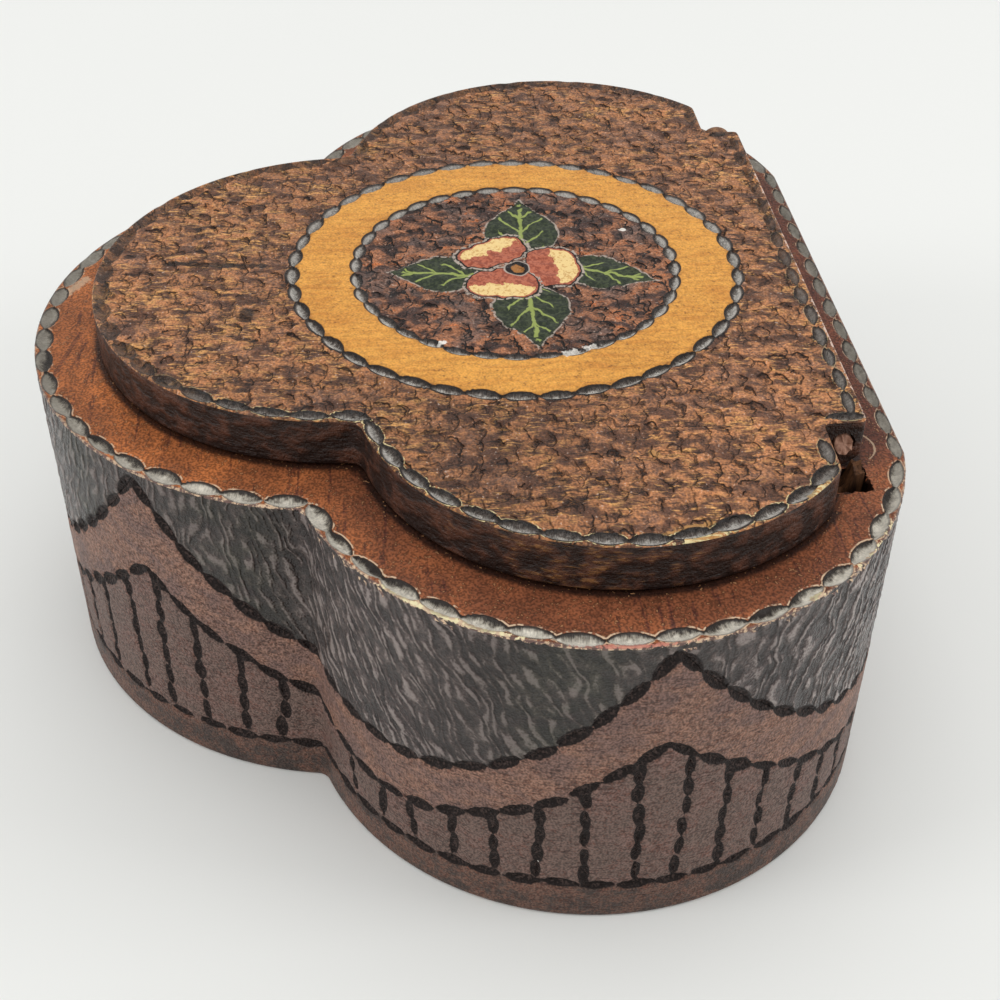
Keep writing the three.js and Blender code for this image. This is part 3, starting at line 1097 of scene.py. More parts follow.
@dataclass(frozen=True)
class Petal:
    """Painted petal: a bent oval with a cream outer side, in millimetres from the middle of the ring."""

    middle: tuple[float, float]
    half_length: float
    half_width: float
    turn: float
    bend: float
    cream_from: float

    def fields(self, u: Value, v: Value) -> tuple[Value, Value]:
        """How far inside the outline a place is, and how far out on the petal, both in millimetres."""
        cos, sin = math.cos(math.radians(self.turn)), math.sin(math.radians(self.turn))
        du, dv = u - self.middle[0], v - self.middle[1]
        long = du * cos + dv * sin
        out = dv * cos - du * sin + long * long * self.bend
        reach = (abs(long / self.half_length) ** 2.6 + abs(out / self.half_width) ** 2.6) ** (1 / 2.6)
        return (1 - reach) * self.half_width, out - self.cream_from


LEAVES = (
    Leaf((1.2, 2.4), (2.1, 17.2), 4.9),
    Leaf((-3.4, -1.6), (-16.2, -0.1), 4.3),
    Leaf((5.2, 0.2), (17.5, -4.4), 3.7),
    Leaf((0.9, -3.2), (1.2, -18.2), 4.8),
)
PETALS = (
    Petal((-2.5, 3.8), 4.8, 3.0, 32, -0.02, 0.2),
    Petal((4.8, -0.1), 4.7, 3.4, -86, 0.0, 0.4),
    Petal((-1.9, -3.7), 4.6, 3.4, 174, -0.03, 0.3),
)


@dataclass(frozen=True)
class PaintedFlower:
    """The small folk flower in the middle of the lid: three petals and four leaves."""

    green: Colour = paint(36, 44, 32)
    green_lit: Colour = paint(62, 70, 48)
    vein: Colour = paint(146, 158, 86)
    outline: Colour = paint(176, 162, 150)
    brick: Colour = paint(182, 104, 78)
    brick_dark: Colour = paint(146, 74, 54)
    cream: Colour = paint(236, 206, 142)
    cream_dark: Colour = paint(208, 166, 104)
    black: Colour = paint(18, 11, 9)
    seed: Colour = paint(164, 108, 52)
    white: Colour = paint(238, 232, 222)

    def lay(self, board: ShaderBoard, under: Value) -> tuple[Value, Value]:
        """Paints the flower over a colour.

        Args:
            board: the lid's board.
            under: the colour of the carved disc.

        Returns:
            The painted colour, and where the paint lies from 0 to 1.
        """
        shaky, shaky_too = board.attributes("stray_u", "stray_v")
        rough = board.noise(board.place, 0.5, 1, 0.7, 0, 47)
        u = board.y - MEDALLION_Y + (shaky - 0.5) * 1.1
        v = (shaky_too - 0.5) * 1.1 - board.x
        green = board.mix(rough.step(0.4, 0.65), self.green, self.green_lit)
        brick = board.mix(rough.step(0.42, 0.62), self.brick, self.brick_dark)
        cream = board.mix(rough.step(0.5, 0.68), self.cream, self.cream_dark)
        colour, insides = under, []
        for leaf in LEAVES:
            inside, vein = leaf.fields(board, u, v)
            stroke = (vein + (rough - 0.5) * 0.4).step(0.34, 0.14)
            line = abs(inside + 0.08).step(0.19, 0.08) * rough.step(0.4, 0.52)
            green_veined = board.mix(stroke, green, self.vein)
            colour = board.coats(colour, (inside.step(-0.06, 0.06), green_veined), (line * 0.85, self.outline))
            insides.append(inside)
        for petal in PETALS:
            inside, out = petal.fields(u, v)
            wavy = out + (shaky_too - 0.5) * 2.6 + (rough - 0.5) * 1.2
            colour = board.coats(
                colour,
                (abs(inside + 0.2).step(0.2, 0.1) * rough.step(0.38, 0.5), self.outline),
                (inside.step(-0.12, -0.02), self.black),
                (inside.step(0.06, 0.14), board.mix(wavy.step(-0.08, 0.08) * inside.step(0.28, 0.36), brick, cream)),
            )
            insides.append(inside)
        eye = board.length(u - 0.15, v + 0.35)
        for radius, ink in ((1.7, self.outline), (1.5, self.black), (0.85, self.seed)):
            colour = board.mix(eye.step(radius + 0.08, radius - 0.08), colour, ink)
        chip = board.length((u - 15.1) * 0.8, v - 8.4)
        colour = board.mix((chip + (rough - 0.5) * 0.3).step(0.45, 0.35), colour, self.white)
        painted = insides[0]
        for inside in insides[1:]:
            painted = painted.most(inside)
        return colour, painted.step(-0.1, 0.3)


class TopPart(Enum):
    """Parts of the lid's top that have a material each."""

    FIELD = "carved_lid_top"
    DISC = "painted_disc"


@dataclass(frozen=True)
class LidFinish:
    """Lid: pecked dark field drawn darker in its scoops as painted shade, honey ring, painted flower, grey cuts with
    painted shade and silvery painted highlights. A chip is a place and a size.
    """

    part: TopPart
    umber: Colour = paint(78, 50, 35)
    brown: Colour = paint(140, 93, 60)
    plum: Colour = paint(112, 82, 67)
    ochre: Colour = paint(190, 140, 82)
    rust: Colour = paint(152, 100, 63)
    # Dark of cracks and scars, and of the painted shadow in the crescents
    crack_and_shadow: Colour = paint(26, 16, 13)
    glint: Colour = paint(206, 190, 176)
    honey: Colour = paint(212, 151, 68)
    honey_dark: Colour = paint(180, 116, 46)
    honey_pore: Colour = paint(106, 62, 32)
    disc_dark: Colour = paint(60, 37, 29)
    disc_brown: Colour = paint(142, 92, 62)
    disc_plum: Colour = paint(96, 76, 68)
    disc_rust: Colour = paint(190, 106, 54)
    # Cut colours: dark for stain and painted shade, mid grey, and a pale painted highlight on the floors
    cut_stain_and_shade: Colour = paint(30, 23, 20)
    cut_mid: Colour = paint(100, 88, 80)
    cut_highlight: Colour = paint(246, 240, 230)
    cream: Colour = paint(228, 210, 158)
    white: Colour = paint(238, 232, 222)
    splinter: Colour = paint(216, 188, 172)
    scars: tuple[Mark, ...] = (((-4.2, -35), (-2.6, -22.7), 0.75), ((8.2, -24.4), (9.8, -24.4), 1.1))
    rubbed: tuple[Mark, ...] = (((53.5, 19.4), (51.9, 24.9), 0.7), ((39.5, 20.6), (40.1, 21.2), 0.6))
    chips: tuple[tuple[float, float, float], ...] = (
        (19.9, 13.7, 0.75),
        (19.0, 16.4, 0.75),
        (16.8, -1.2, 0.4),
        (55.3, 18.6, 0.3),
    )

    def make(self) -> bpy.types.Material:
        """Builds the material of one part of the top."""
        board = ShaderBoard(self.part.value)
        cloud, patch = board.attributes("cloud", "patch")
        depth, crack_and_shadow = bark(board, *board.attributes("bark_u", "bark_v"))
        streak = board.noise(board.place, (0.7, 4.5, 3), 2, 0.7, 0, 41)
        grit, fine = board.grains((44, 48), 0.5)
        # Painted shade: the wood is drawn darker where the pecked scoops lie deeper
        grain = 2.12 - depth * 0.6 - grit.step(0.3, 0.7) * 0.7 - fine.step(0.3, 0.7) * 0.7
        disc = board.coats(
            self.disc_dark,
            (patch.step(0.4, 0.56), self.disc_brown),
            (cloud.step(0.5, 0.6) * 0.7, self.disc_plum),
            ((patch * 0.45 + grit * 0.25 + streak * 0.3).step(0.57, 0.62) * 0.8, self.disc_rust),
        )
        # The disc is drawn darker still in the scoops, as painted shade
        disc = board.coats(
            board.shade(disc, grain - depth * 0.5),
            ((crack_and_shadow * 3).least(1.0), self.crack_and_shadow),
            ((grit * 0.5 + fine * 0.5).step(0.36, 0.28) * 0.4, self.glint),
        )
        lumps = fine * 0.35 + grit * 0.6 - crack_and_shadow * 0.6 - depth * 0.5
        if self.part is TopPart.DISC:
            colour, painted = PaintedFlower().lay(board, disc)
            flat = 1 - painted * 0.85
            return board.finish(colour, 0.55, board.bump(lumps * flat, 0.4), 0.1 + flat * 0.22, 0.28)
        fibre = board.noise(board.place, (0.24, 1.5, 1.5), 1, 0.7, 0, 42)
        radius = board.length(board.x, board.y - MEDALLION_Y)
        near = board.x.step(5, 35)
        tone = 1.02 + near * board.y.step(8, 28) * 0.14 + board.y.step(12, 34) * 0.12 + board.y.step(-18, -36) * 0.14
        tone = tone - near * board.y.step(16, 4) * board.y.step(-22, -8) * 0.14
        field_colour = board.coats(
            board.shade(self._field(board, (cloud, patch, streak, grit, fibre)), grain * tone),
            ((grit * 0.5 + fine * 0.5).step(0.35, 0.27) * 0.5, self.glint),
            ((streak - depth * 0.1).step(0.36, 0.28) * 0.7, self.crack_and_shadow),
            *((board.stroke(mark, patch) * 0.85, self.crack_and_shadow) for mark in self.scars),
            *((board.stroke(mark, grit) * 0.8, self.ochre) for mark in self.rubbed),
            (crack_and_shadow * 0.9, self.crack_and_shadow),
        )
        honey = board.coats(
            self.honey,
            (streak.step(0.4, 0.64) * 0.45 + cloud.step(0.45, 0.7) * 0.35, self.honey_dark),
            ((grit * 0.6 + fibre * 0.4).step(0.61, 0.7) * 0.6, self.honey_pore),
        )
        honey = board.shade(honey, 1.34 - fine.step(0.25, 0.75) * 0.26 - grit.step(0.3, 0.7) * 0.26)
        middle = (RING_OUTER + RING_INNER) / 2
        # Darker towards the ring's edges beside the chains of cuts: dirt and painted shade
        honey = board.mix(abs(radius - middle).step(2.9, 3.6) * (0.1 + patch * 0.5), honey, self.honey_pore)
        on_band, on_disc = (radius.step(edge + 0.05, edge - 0.05) for edge in (RING_OUTER, RING_INNER))
        top = board.coats(field_colour, (on_band, honey), (on_disc, disc))
        top, striae, in_cut = self._cuts(board, top, field_colour, grit, fine)
        bare = (board.attribute("raw_cream") + (grit - 0.5) * 0.9 + (patch - 0.5) * 0.9).step(0.5, 0.62)
        torn = board.mix(board.y.step(44, 45), board.mix(fibre.step(0.4, 0.6), self.cream, self.ochre), self.splinter)
        top = board.mix(bare, top, torn)
        for x, y, size in self.chips:
            spot = board.stroke(((x, y), (x - size * 0.4, y + size * 1.4), size), grit)
            top = board.mix(spot, top, self.white)
        on_ring = radius.between(RING_INNER, RING_OUTER, 0.1)
        coat = 0.12 + in_cut * 0.4 + on_ring * 0.08 + (1 - on_ring) * 0.2
        height = lumps * (1 - on_ring * 0.75) + striae * in_cut * 0.4
        return board.finish(top, 0.58, board.bump(height, 0.4), coat, 0.3)

    def _field(self, board: ShaderBoard, marks: tuple[Value, ...]) -> Value:
        """Stained wood of the pecked field: brown, worn ochre along the grain, and greyish lumps."""
        cloud, patch, streak, grit, fibre = marks
        spread = cloud * 0.45 + patch * 0.55
        colour = board.mix(patch.step(0.4, 0.6), self.umber, self.brown)
        warm = board.mix(patch.step(0.44, 0.6), self.ochre, self.rust)
        lit = spread + board.y.step(10, -40) * 0.03 + (streak - 0.5) * 0.45 + (fibre - 0.5) * 0.5
        colour = board.mix(lit.step(0.49, 0.66) * 0.85, colour, warm)
        grey = (1 - spread) + (patch - 0.5) * 0.9 + (grit - 0.5) * 0.3
        return board.mix(grey.step(0.51, 0.65) * 0.75, colour, self.plum)

    def _cuts(
        self, board: ShaderBoard, top: Value, under: Value, grit: Value, fine: Value
    ) -> tuple[Value, Value, Value]:
        """Colours the chains of cuts: painted silvery highlights with fine lines, painted shade on their inner side
        and a painted shadow beside them, where chain_light is high; like the field where it is low, towards the far
        side and where the chain is worn.
        """
        inside, side, along = board.attributes("cut_inside", "cut_side", "cut_along")
        light, edge = board.attributes("chain_light", "edge")
        striae = board.fibres(along, side)
        across = side + (grit - 0.5) * 1.1 + (striae - 0.5) * 2.2
        # Painted light: dark inner side, silvery painted highlight on the floor where chain_light is high, a paler
        # lip and a painted shadow beside each cut
        groove = board.coats(
            self.cut_stain_and_shade,
            (abs(across + 0.1).step(0.95, 0.6), self.cut_mid),
            (inside.step(0.22, 0.5) * (across + 0.4).step(0.9, 0.4) * light, self.cut_highlight),
            (inside.step(0.26, 0.06), self.cut_stain_and_shade),
        )
        groove = board.shade(groove, 0.35 + striae.step(0.3, 0.7) * 0.35 + fine * 0.6)
        groove = board.mix(light.step(0.0, 0.3) * 0.75 + 0.25, board.shade(under, 0.8), groove)
        lip = inside.step(-0.26, -0.16) * inside.step(0.0, -0.1) * edge.step(2.1, 1.9)
        shadow = inside.step(-0.14, -0.04) * inside.step(0.14, 0.0)
        top = board.coats(
            top,
            (lip * grit.step(0.4, 0.55) * (light * 1.4).least(1.0), self.cream),
            (inside.step(-0.08, 0.04), groove),
            (shadow * (0.35 + light * 0.5), self.cut_stain_and_shade),
        )
        return top, striae, inside.step(-0.05, 0.1)


@dataclass(frozen=True)
class LidSideFinish:
    """Edge of the lid: nearly black, with brown wood where it is rubbed."""

    black: Colour = paint(38, 24, 19)
    brown: Colour = paint(92, 57, 42)
    ochre: Colour = paint(158, 112, 62)

    def make(self) -> bpy.types.Material:
        """Builds the material."""
        board = ShaderBoard("dark_lid_side")
        facets = board.noise(board.on_roll(), (3.2, 3.2, 2.4), 2, 0.65, 0, 51)
        grit = board.noise(board.place, 0.4, 2, 0.8, 0, 52)
        fibre = board.noise(board.on_roll(), (1.6, 1.6, 0.3), 1, 0.7, 0, 53)
        rubbed = board.attribute("side_wear") * 0.34 + (fibre - 0.5) * 1.1 + (facets - 0.5) * 0.9
        colour = board.coats(
            self.black,
            ((facets + (grit - 0.5) * 0.4).step(0.42, 0.62) * 0.85, self.brown),
            (rubbed.step(0.36, 0.62) * 0.45, self.ochre),
        )
        colour = board.shade(colour, 1.36 - grit.step(0.3, 0.7) * 0.75)
        height = facets * 1.2 + grit * 0.4 + fibre * 0.2
        return board.finish(colour, 0.55, board.bump(height, 0.8), 0.4, 0.3)


# The carved body


@dataclass
class CarvedBody:
    """Body of the box: hollow, its wall carved with swags and pickets and its arris with a chain of cuts."""

    ring_counts: tuple[int, int, int, int] = (113, 8, 180, 66)
    wall_rows: int = 87
    arris: float = 0.35
    foot_arris: float = 0.5
    rim_rows: int = 8
    rim_band: float = 2.5
    floor: float = 6.0
    floor_round: float = 2.0
    mouth_arris: float = 0.4
    rim_cut: Gouge = Gouge(pitch=5.0, width=2.05, depth=0.6, stray=0.09)
    rim_inset: float = 1.12
    wall_cut: Gouge = Gouge(pitch=4.5, width=1.7, depth=0.6, stray=0.1)
    picket_cut: Gouge = Gouge(pitch=3.4, width=1.3, depth=0.5, stray=0.13, taper=0.6)
    upper: Swag = Swag(peak=43.2, valley=20.2, power=2.2)
    lower: Swag = Swag(peak=29.5, valley=11.9, power=1.75)
    foot_chain: float = 5.7
    front_pickets: tuple[float, float, int] = (2.7, 51.5, 10)
    side_pickets: tuple[float, float, int] = (64.5, 2.7, 23)
    seam: float = 6.0
    tooling_depth: float = 0.3
    slope_turn: float = 75.0
    slope_reach: float = 70.0
    mortise_depth: float = 6.35
    neat_mortise: tuple[float, float, float, float] = (-39.5, 40.65, -35.8, 45.95)
    torn_mortise: tuple[float, float, float, float] = (35.8, 40.65, 40.7, 46.4)
    ear_middle: tuple[float, float] = (38.2, 43.4)
    raw_cream: Bells = ((1.1, 80, 10), (0.6, 133, 9))
    raw_pink: Bells = ((1.0, 99, 8),)
    raw_spot: float = 121.2
    greenish: Bells = ((1.0, 94, 9), (1.0, 47, 7), (1.0, -47, 9), (1.0, 24, 5))
    # Where the wall is tooled deeper and its painted ridge highlights are stronger
    tooled_and_highlit: Bells = ((0.75, 129, 17), (0.45, 68, 12), (0.55, 2, 14), (0.4, -127, 20))

    def build(self) -> bpy.types.Object:
        """Models, carves and dresses the body.

        Returns:
            The finished piece.
        """
        skin = band("carved_body", self._rings())
        close_ends(skin)
        self._mortises(skin)
        self._layout(skin)
        self._hammer(skin)
        self._dress(skin)
        smooth(skin)
        settle(skin, "box_body", Body.BODY)
        return skin

    def _rings(self) -> np.ndarray:
        """All rings of the skin, from the underside out, up the wall, over the ledge and down the inside."""
        counts = self.ring_counts
        levels: list[tuple[float, float]] = [(0.0, self.foot_arris), (0.15, 0.15)]
        heights = np.linspace(self.foot_arris, BODY_HEIGHT - self.arris, self.wall_rows)
        levels += [(height, 0.0) for height in heights]
        levels += [(BODY_HEIGHT - 0.1, 0.1)]
        levels += [(BODY_HEIGHT, inset) for inset in np.linspace(self.arris, self.rim_band, self.rim_rows)]
        rings = [self._ring(BODY_PLAN.ring(counts, inset), height) for height, inset in levels]
        outer, hollow = BODY_PLAN.ring(counts, self.rim_band), CAVITY_PLAN.ring(counts, -self.mouth_arris)
        for share in (0.15, 0.4, 0.7, 1.0):
            rings.append(self._ring(outer + share * (hollow - outer), BODY_HEIGHT))
        inner, mouth = CAVITY_PLAN.ring(counts), BODY_HEIGHT - self.mouth_arris
        drop = mouth - self.floor - self.floor_round
        rings += [self._ring(inner, mouth - drop * share) for share in np.linspace(0, 1, 7)]
        for angle in np.radians([30, 60, 90]):
            inset, rise = (self.floor_round * (1 - share) for share in (math.cos(angle), math.sin(angle)))
            rings.append(self._ring(CAVITY_PLAN.ring(counts, inset), self.floor + rise))
        return np.array(rings)

    @staticmethod
    def _ring(outline: np.ndarray, height: float) -> np.ndarray:
        """An outline at a height."""
        return np.column_stack([outline, np.full(len(outline), height)])

    def _mortises(self, skin: bpy.types.Object) -> None:
        """Cuts the ears' mortises: a neat one on the left, a torn one on the right."""
        low, high = BODY_HEIGHT - self.mortise_depth, BODY_HEIGHT + 1
        left, front, right, back = self.neat_mortise
        cut_away(skin, block("mortise", (left, front, low), (right, back, high)))
        left, front, right, back = self.torn_mortise
        torn = block("torn_mortise", (left, front, low), (right, back, high), 9)
        places = points_of(torn)
        hand = np.random.default_rng(7)
        ragged = np.abs(hand.normal(0, 0.28, (len(places), 2)))
        places[:, :2] -= np.sign(places[:, :2] - self.ear_middle) * ragged
        place_points(torn, places)
        cut_away(skin, torn)

    def _wall_cuts(self) -> CutField:
        """The chains and pickets on the unrolled wall, arc length across and height up."""
        cuts = CutField(seed=11)
        around = 2 * BODY_PLAN.half
        tops = [*self.upper.peaks, around / 2]
        for start, end in zip([tops[-1] - around, *tops[:-1]], tops):
            run = np.linspace(start, end, 300)
            for swag in (self.upper, self.lower):
                self._chain(cuts, run, swag.height(run, around))
            self._chain(cuts, run, self.foot_chain + 0.45 * np.sin(run / 9.0) * np.cos(run / 23.0))
        self._picket_cuts(cuts, around)
        for x, y, *rest in list(cuts.cuts):
            if abs(x) > around / 2 - self.seam:
                cuts.cuts.append((x - math.copysign(around, x), y, *rest))
        return cuts

    def _chain(self, cuts: CutField, run: np.ndarray, height: np.ndarray) -> None:
        """Lays cuts end to end on a line of the unrolled wall."""
        length = totals(np.hypot(np.diff(run), np.diff(height)))
        count = round(length[-1] / self.wall_cut.pitch)
        pitch = length[-1] / count
        for place in (np.arange(count) + 0.5) * pitch:
            ends = (place - pitch * 0.4, place + pitch * 0.4)
            before, after = (np.array([np.interp(end, length, line) for line in (run, height)]) for end in ends)
            middle = (before + after) / 2
            turn = math.atan2(*(after - before)[::-1])
            cuts.add(middle[0], middle[1], turn, pitch * 1.02, self.wall_cut)

    def _picket_cuts(self, cuts: CutField, around: float) -> None:
        """Upright rows of cuts between the lower swag and the foot chain."""
        start, short_of_end, count = self.side_pickets
        sides = np.linspace(start, around / 2 - short_of_end, count)
        right = np.concatenate([np.linspace(*self.front_pickets), sides])
        for place in np.concatenate([-right[::-1], right]):
            place += cuts.hand.normal(0, 0.25)
            top = float(self.lower.height(np.array([place]), around)[0]) - 0.5
            bottom = self.foot_chain + 0.9
            parts = max(1, round((top - bottom) / self.picket_cut.pitch))
            lean = cuts.hand.normal(0, 0.03)
            for part in range(parts):
                share = (part + 0.5) / parts
                x = place + (share - 0.5) * (top - bottom) * lean
                length = (top - bottom) / parts
                cuts.add(x, bottom + share * (top - bottom), math.pi / 2 + lean, length * 1.08, self.picket_cut)

    def _rim_cuts(self) -> CutField:
        """The chain of cuts along the upper arris, seen from above."""
        cuts = CutField(seed=12)
        outline = BODY_PLAN.ring(self.ring_counts, self.rim_inset)
        add_chain(cuts, outline, self.rim_cut)
        cuts.slim(BODY_PLAN.back - self.rim_inset - 0.5, BACK_CUT_SHARE, 0.25)
        return cuts

    def _layout(self, skin: bpy.types.Object) -> None:
        """Stores the layout at the skin's points, then presses the cuts in."""
        places = points_of(skin)
        run, edge = BODY_PLAN.locate(places)
        around, z = 2 * BODY_PLAN.half, places[:, 2]
        on_wall = edge < 0.05
        wall = self._wall_cuts().press(run, z)
        rim = self._rim_cuts().press(places[:, 0], places[:, 1], 1.35)
        on_top = z > BODY_HEIGHT - 0.3
        for name in ("inside", "side", "along"):
            carry(skin, **{f"cut_{name}": np.where(on_top, rim[name], np.where(on_wall, wall[name], -1))})
        above_upper = z - self.upper.height(run, around)
        carry(skin, above_upper=above_upper, above_lower=z - self.lower.height(run, around), edge=edge, run=run)
        carry_roll(skin, run, BODY_PLAN.half)
        # Distance from the lid's outline, negative under the lid, for the painted shadow on the ledge
        _, lid_gap = LID_PLAN.locate(places)
        carry(skin, lid_gap=np.where(CarvedLid.covers(places), -lid_gap, lid_gap))
        near_arris = np.clip(1.5 - (edge + (BODY_HEIGHT - z)) / 0.7, 0, 1)
        spot = np.hypot(run - self.raw_spot, (edge - 0.5) * 1.5)
        worn = near_arris * bells(run, self.raw_cream) + np.clip(1.4 - spot, 0, 1)
        carry(skin, raw_cream=worn * on_top, raw_pink=near_arris * bells(run, self.raw_pink) * on_top * 0.8)
        plain = np.clip(1 - 4 * (wall["inside"] + 0.1), 0, 1) * on_wall
        panel = np.clip(above_upper / 1.5, 0.22, 1)
        # Zones of deeper tooling, which also carry stronger painted highlights on the swags
        zones = 0.25 + bells(run, self.tooled_and_highlit)
        # Painted light: chain_light makes the rim cuts brighter along the near lobe and duller on the far side
        lit = np.clip((run - 8) / 40, 0, 1) * np.clip((158 - run) / 20, 0, 1)
        carry(skin, green_zone=np.clip(bells(run, self.greenish), 0, 1), chain_light=0.4 + 0.6 * lit)
        carry(skin, hammer_zone=zones, hammer=plain * panel * zones)
        inward = np.zeros_like(places)
        inward[:, :2] = -body_normals(run)
        places += inward * (wall["depth"] * on_wall)[:, None]
        places[:, 2] -= rim["depth"] * on_top * (edge > 0.02)
        low, high = (np.array(corner) / MM for corner in CAD_BOX)
        place_points(skin, np.clip(places, low, high))

    def _hammer(self, skin: bpy.types.Object) -> None:
        """Presses the leathery tooling into the wall."""
        board = ReliefBoard("hammered_wall")
        run = board.attribute("run")
        flat = board.on_roll()
        swirl = board.noise(flat, 5, 2, 0.55, 0, 8)
        slope = ((abs(run) - self.slope_turn) * (math.pi / self.slope_reach)).cosine() * 0.5
        radius = BODY_PLAN.half / math.pi
        turn = (run + slope * (board.z - 32) + swirl * 3) / radius
        across = [turn.cosine() * radius, turn.sine() * radius]
        places = [board.keep(f"grain_{axis}", part) for axis, part in zip("xyz", (*across, board.z + swirl * 2))]
        board.keep("cloud", board.noise(board.place, 9, 3, 0.6, 0.4, 1))
        board.keep("blotch", board.noise(flat, (4.5, 4.5, 2.6), 3, 0.65, 0.5, 5))
        depth = (1 - leather(board, board.joined(*places))) * board.attribute("hammer")
        board.press(skin, depth * self.tooling_depth)

    def _dress(self, skin: bpy.types.Object) -> None:
        """Gives each face its finish: wall, ledge or bare inside."""
        inside = PlainWoodFinish("bare_inside", paint(172, 124, 82), paint(132, 88, 56), (1, 0, 0), 0.65)
        under = PlainWoodFinish("worn_underside", paint(124, 92, 70), paint(86, 60, 46), (1, 0, 0), 0.6)
        # The mortise walls are drawn nearly black: painted shade down in the holes
        torn = PlainWoodFinish("mortise_wood", paint(62, 38, 28), paint(28, 17, 13), (0, 0, 1), 0.7)
        middle, normal = faces_of(skin)
        x, y, z = np.abs(middle[:, 0]), middle[:, 1], middle[:, 2]
        _, edge = BODY_PLAN.locate(middle)
        index = np.full(len(middle), BodyFace.INSIDE)
        index[edge < 1.2] = BodyFace.WALL
        level = (z > BODY_HEIGHT - 1.1) & (normal[:, 2] > 0.1) & (edge < 12.9)
        index[level | (z > BODY_HEIGHT - 0.22)] = BodyFace.LEDGE
        index[(z < 0.4) & (edge > 0.3)] = BodyFace.UNDERSIDE
        near_ear = (np.abs(x - self.ear_middle[0]) < 3) & (np.abs(y - self.ear_middle[1]) < 3.6)
        index[near_ear & (z > 20) & ((normal[:, 2] < 0.5) | (z < BODY_HEIGHT - 1))] = BodyFace.MORTISE
        finish_faces(skin, (WallFinish(), LedgeFinish(), inside, under, torn), index)


def bell(run: np.ndarray, middle: float, width: float) -> np.ndarray:
    """1 at a place along the outline, fading to 0 about so far to each side."""
    return np.exp(-(((run - middle) / width) ** 2))


def bells(run: np.ndarray, marks: Bells) -> np.ndarray:
    """The sum of several fading places, each with its strength, its middle and its width."""
    return sum(strength * bell(run, middle, width) for strength, middle, width in marks)


def body_normals(run: np.ndarray) -> np.ndarray:
    """Outward normals of the body's outline at arc lengths from the front tip."""
    outline = BODY_PLAN.ring((400, 30, 600, 200))
    ahead, behind = np.roll(outline, -1, axis=0), np.roll(outline, 1, axis=0)
    tangent = ahead - behind
    tangent /= np.linalg.norm(tangent, axis=1)[:, None]
    normals = np.column_stack([tangent[:, 1], -tangent[:, 0]])
    lengths, _ = BODY_PLAN.locate(outline)
    order = np.argsort(lengths)
    return np.column_stack([np.interp(run, lengths[order], normals[order, axis]) for axis in (0, 1)])


def add_chain(cuts: CutField, outline: np.ndarray, gouge: Gouge, skip: "np.ndarray | None" = None) -> None:
    """Lays a chain of cuts along a closed outline.

    Args:
        cuts: where they are added.
        outline: the line that the cuts' middles follow.
        gouge: the tool.
        skip: a place whose neighbours are left uncut.
    """
    closed = np.vstack([outline, outline[:1]])
    length = totals(np.linalg.norm(np.diff(closed, axis=0), axis=1))
    count = round(length[-1] / gouge.pitch)
    pitch = length[-1] / count

    def at(place: float) -> np.ndarray:
        """The point of the line that lies so far along it."""
        return np.array([np.interp(place % length[-1], length, closed[:, axis]) for axis in (0, 1)])

    for number in range(count):
        place = (number + 0.5) * pitch
        middle = at(place)
        if skip is not None and np.linalg.norm(skip - middle * (np.sign(middle[0]), 1)) < 1.6:
            continue
        ahead = at(place + 1.2) - at(place - 1.2)
        cuts.add(middle[0], middle[1], math.atan2(ahead[1], ahead[0]), pitch * 1.02, gouge)


# The carved lid


